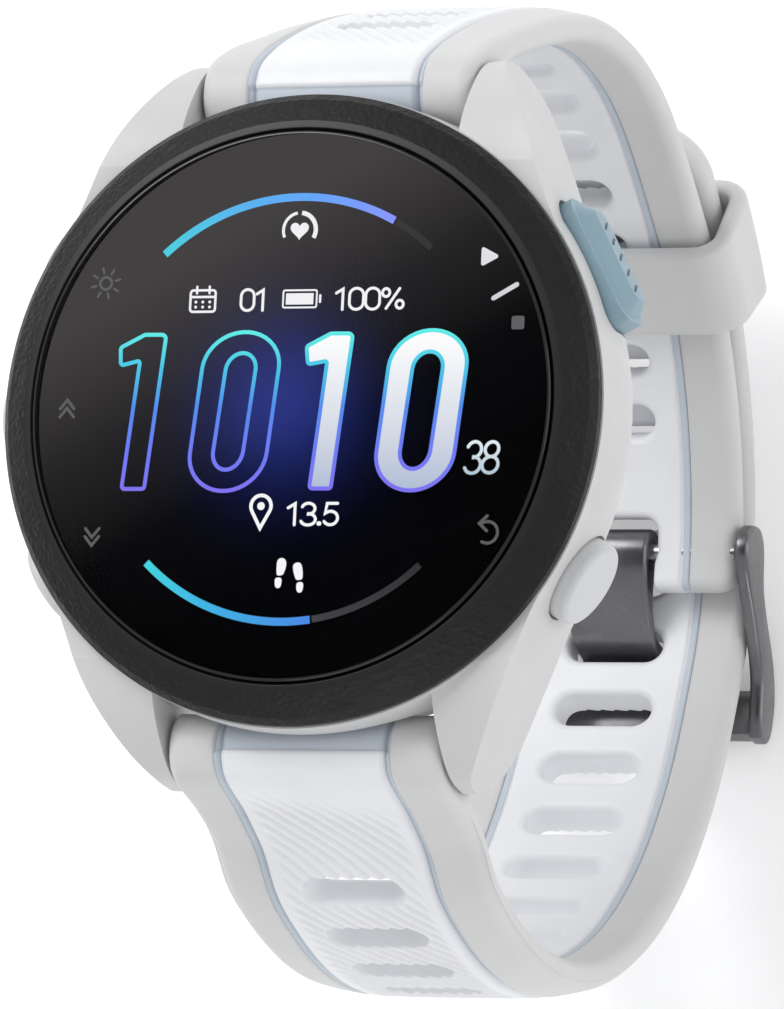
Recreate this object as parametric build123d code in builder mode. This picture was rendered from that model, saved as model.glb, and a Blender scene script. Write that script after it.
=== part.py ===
from build123d import *
import math
import os

# GPS running watch with a closed two-part silicone strap.
# Frame: origin at the centre of the wrist-side sensor face, +Z out of the
# display, +Y towards 12 o'clock, +X towards 3 o'clock. Millimetres.

os.makedirs("parts", exist_ok=True)

# ---------------------------------------------------------------- dimensions
CASE_R = 21.5          # largest radius of the case wall
CASE_TOP = 8.95        # top of the case wall, under the bezel
CAVITY_R = 18.4        # bore of the case cavity
FLANGE_Z = 1.75        # underside of the inner flange the back cover closes
BEZEL_R = 21.25        # outer radius of the bezel
LENS_R = 18.5          # radius of the lens
LENS_TOP = 11.55       # top of the lens
LUG_GAP = 20.0         # width between the lugs
LUG_Y, LUG_Z = 22.2, 3.8   # spring bar axis at the lugs
BAR_R = 0.8            # spring bar tube
TIP_R = 0.45           # spring bar tips
STRAP_HALF = 9.75      # half width of the strap
CORE_HALF = 6.0        # half width of the light core panel
STRAP_T = 2.7          # strap thickness
LOOP_Y, LOOP_Z = -1.75, -22.9   # centre of the closed loop
LOOP_R = 33.6          # outer radius of the loop
OVER_A = 31.4          # outer radius of the buckle strap where the tail covers it
OVER_B = 34.4          # outer radius of the tail where it covers the buckle strap
SLOT_L, SLOT_W = 7.3, 2.6  # strap slots
BUTTON_Z = 4.4         # height of the button axes
STEM_R, BORE_R = 1.10, 1.18  # button stem and its bore
PIN_Y, PIN_Z = -1.2, -52.5   # buckle pin axis
ARM_IN, ARM_T = 10.0, 1.1    # buckle arm inner face and thickness
KEEPER_MID, KEEPER_ARC = -48.4, 14.4  # keeper position and width, degrees


def polar(angle, radius):
    """Point of the loop section at an angle about the loop centre, in (y, z)."""
    a = math.radians(angle)
    return (LOOP_Y + radius * math.cos(a), LOOP_Z + radius * math.sin(a))


def radial_plane(angle, radius):
    """Plane across the strap at an angle about the loop centre."""
    a = math.radians(angle)
    y, z = polar(angle, radius)
    return Plane(origin=(0, y, z), x_dir=(1, 0, 0), z_dir=(0, math.cos(a), math.sin(a)))


def wall_plane(angle, radius):
    """Plane facing out of the case wall at an angle about Z."""
    a = math.radians(angle)
    return Plane(
        origin=(radius * math.cos(a), radius * math.sin(a), BUTTON_Z),
        x_dir=(-math.sin(a), math.cos(a), 0),
        z_dir=(math.cos(a), math.sin(a), 0),
    )


def finish(builder, name):
    builder.part.label = name
    export_step(builder.part, "parts/" + name + ".step")


# ------------------------------------------------------------------- buttons
ROUND_BUTTONS = {"light_button": 150, "up_button": 180, "down_button": 210, "back_button": -30}
START_ANGLE = 28.5
BUTTON_ANGLES = dict(ROUND_BUTTONS)
BUTTON_ANGLES["start_button"] = START_ANGLE
CAP_R = 3.0            # round button cap
CAP_IN, CAP_OUT = 21.0, 22.55
RECESS_FLOOR = 20.3

# --------------------------------------------------------------------- lugs
with BuildPart() as lug_pair:
    # Side view of one lug, in (y, z).
    with BuildSketch(Plane.YZ) as lug_side:
        with BuildLine():
            top = Spline((12.0, 8.95), (17.0, 8.9), (19.6, 8.1), (21.9, 6.6), (23.8, 4.6), (24.6, 2.5))
            tip = Spline((24.6, 2.5), (24.75, 1.2), (24.2, -0.2), (22.9, -0.5), (20.5, 0.0), (17.0, 0.8))
            Polyline((17.0, 0.8), (12.0, 0.9), (12.0, 8.95))
        make_face()
    extrude(amount=19, both=True)
    # Plan view of the two lugs at 12 o'clock.
    with BuildSketch(Plane.XY.offset(-3)) as lug_plan:
        with BuildLine():
            Polyline((10.0, 24.9), (10.0, 10.0), (17.9, 10.0), (17.9, 11.4))
            Spline((17.9, 11.4), (16.3, 14.9), (15.1, 17.9), (13.9, 20.3), (12.6, 22.5), (11.4, 24.1))
            Polyline((11.4, 24.1), (10.9, 24.9), (10.0, 24.9))
        make_face()
        mirror(about=Plane.YZ)
    extrude(amount=16, mode=Mode.INTERSECT)

# -------------------------------------------------------------------- case
with BuildPart() as case_housing:
    with BuildSketch(Plane.XZ):
        with BuildLine():
            Polyline((15.0, FLANGE_Z + 0.95), (15.0, FLANGE_Z), (18.8, FLANGE_Z), (18.8, 0.55), (19.3, 0.55))
            Spline((19.3, 0.55), (20.35, 1.35), (21.1, 2.6), (21.45, 4.2), (21.5, 6.0), (21.35, CASE_TOP))
            Polyline(
                (21.35, CASE_TOP), (19.0, CASE_TOP), (19.0, 8.2), (CAVITY_R, 8.2),
                (CAVITY_R, FLANGE_Z + 0.95), (15.0, FLANGE_Z + 0.95),
            )
        make_face()
    revolve(axis=Axis.Z)
    # Lugs at 12 and 6 o'clock, kept outside the cavity.
    add(lug_pair.part)
    add(lug_pair.part.mirror(Plane.XZ))
    with BuildSketch(Plane.XY.offset(FLANGE_Z + 0.95)):
        Circle(CAVITY_R)
    extrude(amount=10, mode=Mode.SUBTRACT)
    with BuildSketch(Plane.XY.offset(8.2)):
        Circle(19.0)
    extrude(amount=3, mode=Mode.SUBTRACT)
    with BuildSketch(Plane.XY.offset(-3)):
        Circle(18.8)
    extrude(amount=3 + FLANGE_Z, mode=Mode.SUBTRACT)
    with BuildSketch(Plane.XY.offset(CASE_TOP)):
        Circle(30)
    extrude(amount=2, mode=Mode.SUBTRACT)
    # Scoops between the lugs that clear the strap ends.
    with BuildSketch(Plane.YZ):
        with Locations((LUG_Y, LUG_Z), (-LUG_Y, LUG_Z)):
            Circle(2.95)
        with Locations((LUG_Y, LUG_Z - 3.4), (-LUG_Y, LUG_Z - 3.4)):
            Rectangle(5.0, 6.0)
    extrude(amount=LUG_GAP / 2, both=True, mode=Mode.SUBTRACT)
    # Blind holes for the spring bar tips.
    with BuildSketch(Plane.YZ):
        with Locations((LUG_Y, LUG_Z - 0.5), (-LUG_Y, LUG_Z - 0.5)):
            Circle(TIP_R + 0.07)
    extrude(amount=LUG_GAP / 2 + 1.3, both=True, mode=Mode.SUBTRACT)
    # Recess and bore of each round button.
    for angle in ROUND_BUTTONS.values():
        with BuildSketch(wall_plane(angle, RECESS_FLOOR)):
            Circle(CAP_R + 0.2)
        extrude(amount=4, mode=Mode.SUBTRACT)
    for angle in BUTTON_ANGLES.values():
        with BuildSketch(wall_plane(angle, 17.5)):
            Circle(BORE_R)
        extrude(amount=6, mode=Mode.SUBTRACT)
    # Recess of the start button.
    with BuildSketch(wall_plane(START_ANGLE, RECESS_FLOOR - 0.6)):
        RectangleRounded(9.9, 5.0, 1.6)
    extrude(amount=5, mode=Mode.SUBTRACT)
    # Screw holes in the flange.
    with Locations(Plane.XY.offset(FLANGE_Z)):
        with PolarLocations(17.1, 4, start_angle=45):
            Cylinder(0.5, 1.6, align=(Align.CENTER, Align.CENTER, Align.MIN), mode=Mode.SUBTRACT)
finish(case_housing, "case_housing")

# ------------------------------------------------------------------- bezel
with BuildPart() as bezel:
    with BuildSketch(Plane.XZ):
        with BuildLine():
            Polyline(
                (BEZEL_R, 9.0), (BEZEL_R, 9.6), (20.75, 10.12), (19.25, 11.08), (18.7, 11.2),
                (18.6, 11.1), (18.6, 9.3), (17.3, 9.3), (17.3, 8.6), (18.9, 8.6), (18.9, 9.0), (BEZEL_R, 9.0),
            )
        make_face()
    revolve(axis=Axis.Z)
finish(bezel, "bezel")

with BuildPart() as lens_gasket:
    with BuildSketch(Plane.XY.offset(9.35)):
        Circle(18.45)
        Circle(17.4, mode=Mode.SUBTRACT)
    extrude(amount=0.6)
finish(lens_gasket, "lens_gasket")

with BuildPart() as lens:
    with BuildSketch(Plane.XY.offset(10.0)):
        Circle(LENS_R)
    extrude(amount=LENS_TOP - 10.0)
    fillet(lens.edges().group_by(Axis.Z)[-1], 0.35)
finish(lens, "lens")

with BuildPart() as display_panel:
    with BuildSketch(Plane.XY.offset(8.6)):
        Circle(15.8)
    extrude(amount=1.35)
finish(display_panel, "display_panel")

with BuildPart() as display_frame:
    with BuildSketch(Plane.XY.offset(6.85)):
        Circle(17.0)
    extrude(amount=2.3)
    with BuildSketch(Plane.XY.offset(7.5)):
        Circle(16.0)
    extrude(amount=3, mode=Mode.SUBTRACT)
    with BuildSketch(Plane.XY.offset(6.0)):
        with Locations((0, -12)):
            RectangleRounded(9, 2.2, 1.0)
    extrude(amount=3, mode=Mode.SUBTRACT)
finish(display_frame, "display_frame")

with BuildPart() as display_flex:
    with BuildSketch(Plane.YZ):
        with BuildLine():
            Polyline((-10.0, 8.5), (-12.6, 8.5), (-12.6, 6.55), (-9.0, 6.55), (-9.0, 6.7), (-12.4, 6.7), (-12.4, 8.3), (-10.0, 8.3), (-10.0, 8.5))
        make_face()
    extrude(amount=3.5, both=True)
finish(display_flex, "display_flex")

with BuildPart() as gps_antenna:
    with BuildSketch(Plane.XY.offset(6.9)):
        Circle(18.2)
        Circle(17.2, mode=Mode.SUBTRACT)
        with Locations((0, 18)):
            Rectangle(3, 3, mode=Mode.SUBTRACT)
    extrude(amount=1.6)
finish(gps_antenna, "gps_antenna")

with BuildPart() as main_board:
    with BuildSketch(Plane.XY.offset(5.85)):
        Circle(13.8)
        with Locations((11.5, 9.0), (-11.5, 9.0)):
            Circle(2.0, mode=Mode.SUBTRACT)
    extrude(amount=0.65)
    with BuildSketch(Plane.XY.offset(5.5)):
        with Locations((-5, 4)):
            Rectangle(7, 7)
        with Locations((4.5, 4.5)):
            Rectangle(6, 5)
        with Locations((0, -5)):
            Rectangle(10, 4)
    extrude(amount=0.4)
finish(main_board, "main_board")

with BuildPart() as battery:
    with BuildSketch(Plane.XY.offset(2.6)):
        with Locations((0, -1.2)):
            Circle(12.7)
    extrude(amount=2.75)
    fillet(battery.edges(), 0.5)
finish(battery, "battery")

with BuildPart() as vibration_motor:
    with BuildSketch(Plane.YZ):
        with Locations((14.4, 4.3)):
            Circle(1.6)
    extrude(amount=4.5, both=True)
finish(vibration_motor, "vibration_motor")

with BuildPart() as beeper:
    with BuildSketch(Plane.XY.offset(1.55)):
        with Locations((0, 11.7)):
            Circle(2.8)
    extrude(amount=0.75)
finish(beeper, "beeper")

with BuildPart() as button_switches:
    for angle in BUTTON_ANGLES.values():
        with BuildSketch(wall_plane(angle, 14.55)):
            Rectangle(3.0, 2.2)
        extrude(amount=1.2)
        with BuildSketch(wall_plane(angle, 15.75)):
            Circle(0.8)
        extrude(amount=0.35)
finish(button_switches, "button_switches")

# -------------------------------------------------------------- back cover
with BuildPart() as back_cover:
    with BuildSketch(Plane.XY.offset(0.45)):
        Circle(18.65)
    extrude(amount=1.05)
    with BuildSketch(Plane.XY.offset(0.12)):
        Circle(11.4)
    extrude(amount=0.5)
    chamfer(back_cover.edges().filter_by(GeomType.CIRCLE).group_by(Axis.Z)[0], 0.2)
    with BuildSketch(Plane.XY):
        Circle(7.7)
        with Locations((0, -13.0)):
            RectangleRounded(7.4, 3.5, 0.6)
    extrude(amount=3, mode=Mode.SUBTRACT)
    with Locations(Plane(origin=(0, 0, 0.45), z_dir=(0, 0, -1))):
        with PolarLocations(17.1, 4, start_angle=45):
            CounterBoreHole(0.62, 1.15, 0.5, depth=2)
finish(back_cover, "back_cover")

with BuildPart() as back_screws:
    for angle in (45, 135, 225, 315):
        a = math.radians(angle)
        spot = Plane(origin=(17.1 * math.cos(a), 17.1 * math.sin(a), 0.5), z_dir=(0, 0, 1))
        with BuildSketch(spot):
            Circle(1.05)
            RegularPolygon(0.45, 6, mode=Mode.SUBTRACT)
        extrude(amount=0.4)
        with BuildSketch(spot.offset(0.3)):
            Circle(1.05)
        extrude(amount=0.12)
        with BuildSketch(spot.offset(0.4)):
            Circle(0.45)
        extrude(amount=2.2)
finish(back_screws, "back_screws")

with BuildPart() as cover_seal:
    with BuildSketch(Plane.XY.offset(1.52)):
        Circle(16.1)
        Circle(15.3, mode=Mode.SUBTRACT)
    extrude(amount=0.21)
finish(cover_seal, "cover_seal")

with BuildPart() as sensor_window:
    with BuildSketch(Plane.XY):
        Circle(7.6)
    extrude(amount=0.9)
    chamfer(sensor_window.edges().group_by(Axis.Z)[0], 0.15)
finish(sensor_window, "sensor_window")

with BuildPart() as sensor_leds:
    with BuildSketch(Plane.XY.offset(0.98)):
        Rectangle(1.6, 1.6)
        with PolarLocations(3.6, 4, start_angle=45):
            Rectangle(1.4, 1.4)
        with PolarLocations(4.6, 2, start_angle=0):
            Rectangle(1.0, 2.2)
    extrude(amount=0.55)
finish(sensor_leds, "sensor_leds")

with BuildPart() as sensor_board:
    with BuildSketch(Plane.XY.offset(1.6)):
        Circle(8.4)
    extrude(amount=0.5)
finish(sensor_board, "sensor_board")

with BuildPart() as charge_socket:
    with BuildSketch(Plane.XY.offset(0.5)):
        with Locations((0, -13.0)):
            RectangleRounded(7.2, 3.3, 0.5)
    extrude(amount=1.9)
    with BuildSketch(Plane.XY.offset(0.5)):
        with Locations((0, -13.0)):
            RectangleRounded(6.2, 2.3, 0.4)
    extrude(amount=1.3, mode=Mode.SUBTRACT)
    with BuildSketch(Plane.XY):
        with Locations((0, -13.0)):
            with GridLocations(1.4, 1, 4, 1):
                Circle(0.4)
    extrude(amount=3, mode=Mode.SUBTRACT)
finish(charge_socket, "charge_socket")

with BuildPart() as charge_contacts:
    with BuildSketch(Plane.XY.offset(1.0)):
        with Locations((0, -13.0)):
            with GridLocations(1.4, 1, 4, 1):
                Circle(0.37)
    extrude(amount=1.5)
finish(charge_contacts, "charge_contacts")

# ------------------------------------------------------- buttons, five sets
for name, angle in BUTTON_ANGLES.items():
    stem_name = name
    if name == "start_button":
        # Wide bar with a sloping outer face.
        with BuildPart() as button:
            with BuildSketch(wall_plane(angle, RECESS_FLOOR + 0.3)):
                RectangleRounded(9.4, 4.5, 1.4)
            extrude(amount=1.5)
            with BuildSketch(wall_plane(angle, 21.75)):
                RectangleRounded(9.4, 4.5, 1.4)
            with BuildSketch(wall_plane(angle, 22.95)):
                with Locations((0.1, -0.7)):
                    RectangleRounded(6.9, 2.2, 0.7)
            loft()
            with BuildSketch(wall_plane(angle, 16.9)):
                Circle(STEM_R)
            extrude(amount=4.2)
            with BuildSketch(wall_plane(angle, 17.55)):
                Circle(STEM_R + 0.1)
                Circle(0.8, mode=Mode.SUBTRACT)
            extrude(amount=0.5, mode=Mode.SUBTRACT)
            with BuildSketch(wall_plane(angle, 18.9)):
                Circle(STEM_R + 0.1)
                Circle(0.75, mode=Mode.SUBTRACT)
            extrude(amount=0.6, mode=Mode.SUBTRACT)
    else:
        with BuildPart() as button:
            with BuildSketch(wall_plane(angle, CAP_IN)):
                Circle(CAP_R)
            extrude(amount=CAP_OUT - CAP_IN)
            fillet(button.edges().filter_by(GeomType.CIRCLE).sort_by_distance((0, 0, BUTTON_Z))[-1], 0.45)
            with BuildSketch(wall_plane(angle, 16.9)):
                Circle(STEM_R)
            extrude(amount=4.2)
            with BuildSketch(wall_plane(angle, 17.55)):
                Circle(STEM_R + 0.1)
                Circle(0.8, mode=Mode.SUBTRACT)
            extrude(amount=0.5, mode=Mode.SUBTRACT)
            with BuildSketch(wall_plane(angle, 18.9)):
                Circle(STEM_R + 0.1)
                Circle(0.75, mode=Mode.SUBTRACT)
            extrude(amount=0.6, mode=Mode.SUBTRACT)
    finish(button, name)

    # Snap ring in the inner groove, and the sealing ring in the outer one.
    with BuildPart() as clip:
        with BuildSketch(wall_plane(angle, 17.62)):
            Circle(1.62)
            Circle(0.83, mode=Mode.SUBTRACT)
        extrude(amount=0.36)
    finish(clip, name.replace("button", "clip"))
    with BuildPart() as seal:
        with BuildSketch(wall_plane(angle, 18.95)):
            Circle(1.13)
            Circle(0.78, mode=Mode.SUBTRACT)
        extrude(amount=0.5)
    finish(seal, name.replace("button", "seal"))

# ------------------------------------------------- spring bars at the lugs
BAR_Z = LUG_Z - 0.5
for side, y in (("upper", LUG_Y), ("lower", -LUG_Y)):
    # Tube of the bar, bored from the release end, with the fixed tip.
    with BuildPart() as tube:
        with BuildSketch(Plane.YZ.offset(-9.2)):
            with Locations((y, BAR_Z)):
                Circle(BAR_R)
        extrude(amount=18.4)
        with BuildSketch(Plane.YZ.offset(-11.0)):
            with Locations((y, BAR_Z)):
                Circle(TIP_R)
        extrude(amount=2.0)
        with BuildSketch(Plane.YZ.offset(2.0)):
            with Locations((y, BAR_Z)):
                Circle(TIP_R + 0.08)
        extrude(amount=8, mode=Mode.SUBTRACT)
        # Slot for the release lever, open to the wrist side.
        with BuildSketch(Plane.XY.offset(BAR_Z)):
            with Locations((5.55, y)):
                Rectangle(3.1, 1.3)
        extrude(amount=-3, mode=Mode.SUBTRACT)
    finish(tube, side + "_spring_bar")
    # Sliding tip with its release lever.
    with BuildPart() as tip_pin:
        with BuildSketch(Plane.YZ.offset(4.2)):
            with Locations((y, BAR_Z)):
                Circle(TIP_R)
        extrude(amount=6.8)
        with BuildSketch(Plane.XY.offset(BAR_Z)):
            with Locations((6.2, y)):
                RectangleRounded(1.1, 0.8, 0.3)
        extrude(amount=-2.2)
        with BuildSketch(Plane.XY.offset(BAR_Z - 2.2)):
            with Locations((6.2, y)):
                RectangleRounded(1.5, 1.6, 0.5)
        extrude(amount=-0.7)
    finish(tip_pin, side + "_release_pin")

# ------------------------------------------------------------------ straps
upper_outer = [
    (LUG_Y, LUG_Z + 2.4), (23.75, 5.8), (25.1, 4.3), (26.3, 2.2), (27.5, -0.4), (28.7, -3.4),
    (29.85, -6.9), (30.95, -10.7), polar(14, 34.65), polar(8, 34.55),
    polar(0, 34.35), polar(-6, 34.05), polar(-12, 33.65),
    polar(-18, 33.15), polar(-24, 32.5), polar(-30, 31.9), polar(-36, 31.5),
] + [polar(a, OVER_A) for a in (-42, -50, -58, -66, -74, -82, -90)] + [polar(-94.2, OVER_A)]
lower_outer = [
    (-LUG_Y, LUG_Z + 2.4), (-23.7, 5.8), (-24.95, 4.2), (-26.0, 2.0), (-27.25, -0.1), (-28.75, -2.3),
    polar(148, 34.5), polar(155, 34.6), polar(162, 34.6), polar(169, 34.6), polar(176, 34.55), polar(183, 34.5),
    polar(190, 34.4), polar(197, 34.25), polar(204, 34.1), polar(211, 33.95), polar(218, 33.8), polar(225, 33.7),
    polar(232, LOOP_R), polar(239, LOOP_R), polar(245, LOOP_R),
] + [
    polar(252, 33.75), polar(258, 34.1), polar(264, 34.35),
] + [polar(a, OVER_B) for a in (270, 278, 286, 294, 302, 310, 318)] + [polar(326, 34.9), polar(333, 35.5)]


def inner_points(points, depth):
    """Offsets an outer line towards the loop centre by the strap thickness."""
    shifted = []
    for i, (y, z) in enumerate(points):
        y0, z0 = points[max(i - 1, 0)]
        y1, z1 = points[min(i + 1, len(points) - 1)]
        ty, tz = y1 - y0, z1 - z0
        length = math.hypot(ty, tz)
        ny, nz = -tz / length, ty / length
        if (LOOP_Y - y) * ny + (LOOP_Z - z) * nz < 0:
            ny, nz = -ny, -nz
        shifted.append((y + depth * ny, z + depth * nz))
    return shifted


upper_inner = [(21.2, 1.62), (22.6, 1.25), (23.7, 0.3)] + inner_points(upper_outer, STRAP_T)[4:]
lower_inner = [(-21.0, 1.65), (-22.2, 1.25), (-23.2, 0.3)] + inner_points(lower_outer, STRAP_T)[4:]

UPPER_SLOTS = [33.4, 24.1, 13.2, 3.8, -5.5, -14.8, -24, -33.2, -42.4, -51.7, -61, -70]
LOWER_SLOTS = [148, 157, 166.1, 175.6, 184.8, 194, 203.2, 212.4, 221.6, 230.8, 240, 249.2, 258.6, 268, 276.8, 286, 295, 304, 313]


for side, outer, inner, slots, y in (
    ("upper", upper_outer, upper_inner, UPPER_SLOTS, LUG_Y),
    ("lower", lower_outer, lower_inner, LOWER_SLOTS, -LUG_Y),
):
    # Whole band, from which the core panel and the two edges are cut.
    with BuildPart() as band:
        with BuildSketch(Plane.YZ):
            with BuildLine():
                s1 = Spline(*outer)
                s2 = Spline(*inner)
                Line(s1 @ 0, s2 @ 0)
                Line(s1 @ 1, s2 @ 1)
            make_face()
        extrude(amount=STRAP_HALF, both=True)
        with BuildSketch(Plane.YZ):
            with Locations((y, LUG_Z)):
                Circle(2.4)
        extrude(amount=STRAP_HALF, both=True)
        with BuildSketch(Plane.YZ):
            with Locations((y, BAR_Z)):
                Circle(BAR_R + 0.1)
        extrude(amount=12, both=True, mode=Mode.SUBTRACT)
        # Window for the release lever on the wrist side.
        with BuildSketch(Plane.XY.offset(BAR_Z)):
            with Locations((5.5, y)):
                Rectangle(3.4, 2.1)
        extrude(amount=-4, mode=Mode.SUBTRACT)
        for angle in slots:
            with BuildSketch(radial_plane(angle, 26)):
                SlotOverall(SLOT_L, SLOT_W)
            extrude(amount=13, mode=Mode.SUBTRACT)
        if side == "upper":
            # Notch for the tongue, and the hole for the buckle pin.
            with BuildSketch(Plane.XY.offset(-58)):
                with Locations((0, -2.2)):
                    RectangleRounded(7.3, 7.4, 1.0)
            extrude(amount=10, mode=Mode.SUBTRACT)
            with BuildSketch(Plane.YZ):
                with Locations((PIN_Y, PIN_Z)):
                    Circle(0.85)
            extrude(amount=12, both=True, mode=Mode.SUBTRACT)
        else:
            # Rounded tail tip.
            tip_plane = radial_plane(331, 30)
            with BuildSketch(tip_plane):
                with Locations((0, -1.0)):
                    Rectangle(40, 12)
                with Locations((0, 7.0)):
                    RectangleRounded(2 * STRAP_HALF + 0.2, 14, 5.5, mode=Mode.SUBTRACT)
            extrude(amount=9, mode=Mode.SUBTRACT)
    with BuildPart() as core:
        add(band.part)
        with BuildSketch(Plane.YZ):
            with Locations((0, -25)):
                Rectangle(120, 120)
        extrude(amount=CORE_HALF, both=True, mode=Mode.INTERSECT)
    finish(core, side + "_strap_core")
    with BuildPart() as edges:
        add(band.part)
        with BuildSketch(Plane.YZ):
            with Locations((0, -25)):
                Rectangle(120, 120)
        extrude(amount=CORE_HALF, both=True, mode=Mode.SUBTRACT)
    finish(edges, side + "_strap_edges")

# ------------------------------------------------------------------ keeper
keeper_start = KEEPER_MID - KEEPER_ARC / 2
a0 = math.radians(keeper_start)
keeper_plane = Plane(
    origin=(0, LOOP_Y, LOOP_Z), x_dir=(1, 0, 0),
    z_dir=(0, -math.sin(a0), math.cos(a0)),
)
LOOP_AXIS = Axis((0, LOOP_Y, LOOP_Z), (1, 0, 0))
with BuildPart() as keeper_loop:
    with BuildSketch(keeper_plane):
        with Locations((0, 31.6)):
            RectangleRounded(23.4, 9.0, 2.2)
            RectangleRounded(20.5, 6.5, 1.1, mode=Mode.SUBTRACT)
    revolve(axis=LOOP_AXIS, revolution_arc=KEEPER_ARC)
finish(keeper_loop, "keeper_loop")

# ------------------------------------------------------------------ buckle
BAR_Y, BAR_ZC = -12.4, -56.85
with BuildPart() as buckle_frame:
    with BuildSketch(Plane.YZ.offset(ARM_IN)):
        with BuildLine():
            Spline((0.75, -51.9), (-0.4, -50.65), (-2.4, -50.9), (-5.0, -52.6), (-7.8, -54.3), (-10.6, -55.3), (-12.9, -55.3), (-14.3, -55.6))
            Spline((-14.3, -55.6), (-14.6, -57.0), (-13.0, -58.0), (-10.4, -58.1), (-8.0, -57.2), (-5.4, -55.6), (-2.7, -54.6), (-0.6, -54.4), (0.7, -53.4), (0.75, -51.9))
        make_face()
        with Locations((PIN_Y, PIN_Z)):
            Circle(0.5, mode=Mode.SUBTRACT)
    extrude(amount=ARM_T)
    mirror(about=Plane.YZ)
    with BuildSketch(Plane.YZ):
        with BuildLine():
            Spline((-10.7, -57.0), (-11.4, -56.45), (-13.0, -55.85), (-14.0, -55.75))
            Spline((-14.0, -55.75), (-14.45, -56.5), (-13.6, -57.6), (-12.0, -58.05), (-10.9, -57.9), (-10.7, -57.0))
        make_face()
    extrude(amount=ARM_IN + 0.1, both=True)
finish(buckle_frame, "buckle_frame")

with BuildPart() as buckle_pin:
    with BuildSketch(Plane.YZ):
        with Locations((PIN_Y, PIN_Z)):
            Circle(0.75)
    extrude(amount=9.6, both=True)
    with BuildSketch(Plane.YZ):
        with Locations((PIN_Y, PIN_Z)):
            Circle(0.42)
    extrude(amount=10.8, both=True)
finish(buckle_pin, "buckle_pin")

with BuildPart() as buckle_tongue:
    with BuildSketch(Plane.YZ):
        with BuildLine():
            Spline((PIN_Y + 0.2, PIN_Z + 1.75), (-3.2, -51.1), (-5.2, -52.0), (-7.0, -53.05), (-8.2, -54.55), (-8.85, -55.9), (-9.9, -56.75))
            Line((-9.9, -56.75), (-9.7, -57.6))
            Spline((-9.7, -57.6), (-8.75, -57.2), (-7.95, -56.3), (-7.5, -55.15), (-7.1, -54.1), (-6.0, -53.35), (-4.3, -52.95), (PIN_Y - 1.0, PIN_Z - 0.9))
            Line((PIN_Y - 1.0, PIN_Z - 0.9), (PIN_Y + 0.2, PIN_Z + 1.75))
        make_face()
        with Locations((PIN_Y, PIN_Z)):
            Circle(1.75)
        with Locations((PIN_Y, PIN_Z)):
            Circle(0.82, mode=Mode.SUBTRACT)
    extrude(amount=3.2, both=True)
finish(buckle_tongue, "buckle_tongue")
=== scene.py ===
import math
import bpy
import numpy as np
from mathutils import Matrix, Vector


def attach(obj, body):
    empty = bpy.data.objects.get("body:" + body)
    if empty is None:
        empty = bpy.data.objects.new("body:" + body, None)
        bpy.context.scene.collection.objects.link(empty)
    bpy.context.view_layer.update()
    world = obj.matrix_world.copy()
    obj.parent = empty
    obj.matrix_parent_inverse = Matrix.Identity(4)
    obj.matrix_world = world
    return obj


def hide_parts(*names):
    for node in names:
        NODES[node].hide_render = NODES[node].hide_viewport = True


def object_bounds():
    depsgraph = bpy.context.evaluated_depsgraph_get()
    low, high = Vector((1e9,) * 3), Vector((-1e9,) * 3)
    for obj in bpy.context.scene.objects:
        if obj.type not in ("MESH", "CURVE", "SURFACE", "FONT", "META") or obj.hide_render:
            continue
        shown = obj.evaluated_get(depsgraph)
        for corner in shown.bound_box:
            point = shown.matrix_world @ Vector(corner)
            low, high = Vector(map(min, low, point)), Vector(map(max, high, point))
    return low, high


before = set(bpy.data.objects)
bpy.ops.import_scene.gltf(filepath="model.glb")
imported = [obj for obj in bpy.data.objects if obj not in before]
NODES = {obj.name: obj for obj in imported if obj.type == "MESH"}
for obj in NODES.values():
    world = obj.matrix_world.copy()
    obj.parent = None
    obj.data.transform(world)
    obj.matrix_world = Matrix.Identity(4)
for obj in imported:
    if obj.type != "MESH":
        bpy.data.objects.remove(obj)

CAD_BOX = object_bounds()
SCENE = bpy.context.scene
MM = 0.001


# ------------------------------------------------------------ colour and materials
def lin(r, g, b):
    """Linear colour from 0-255 display values."""
    out = []
    for v in (r, g, b):
        v /= 255.0
        out.append(v / 12.92 if v <= 0.04045 else ((v + 0.055) / 1.055) ** 2.4)
    return tuple(out) + (1.0,)


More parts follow.
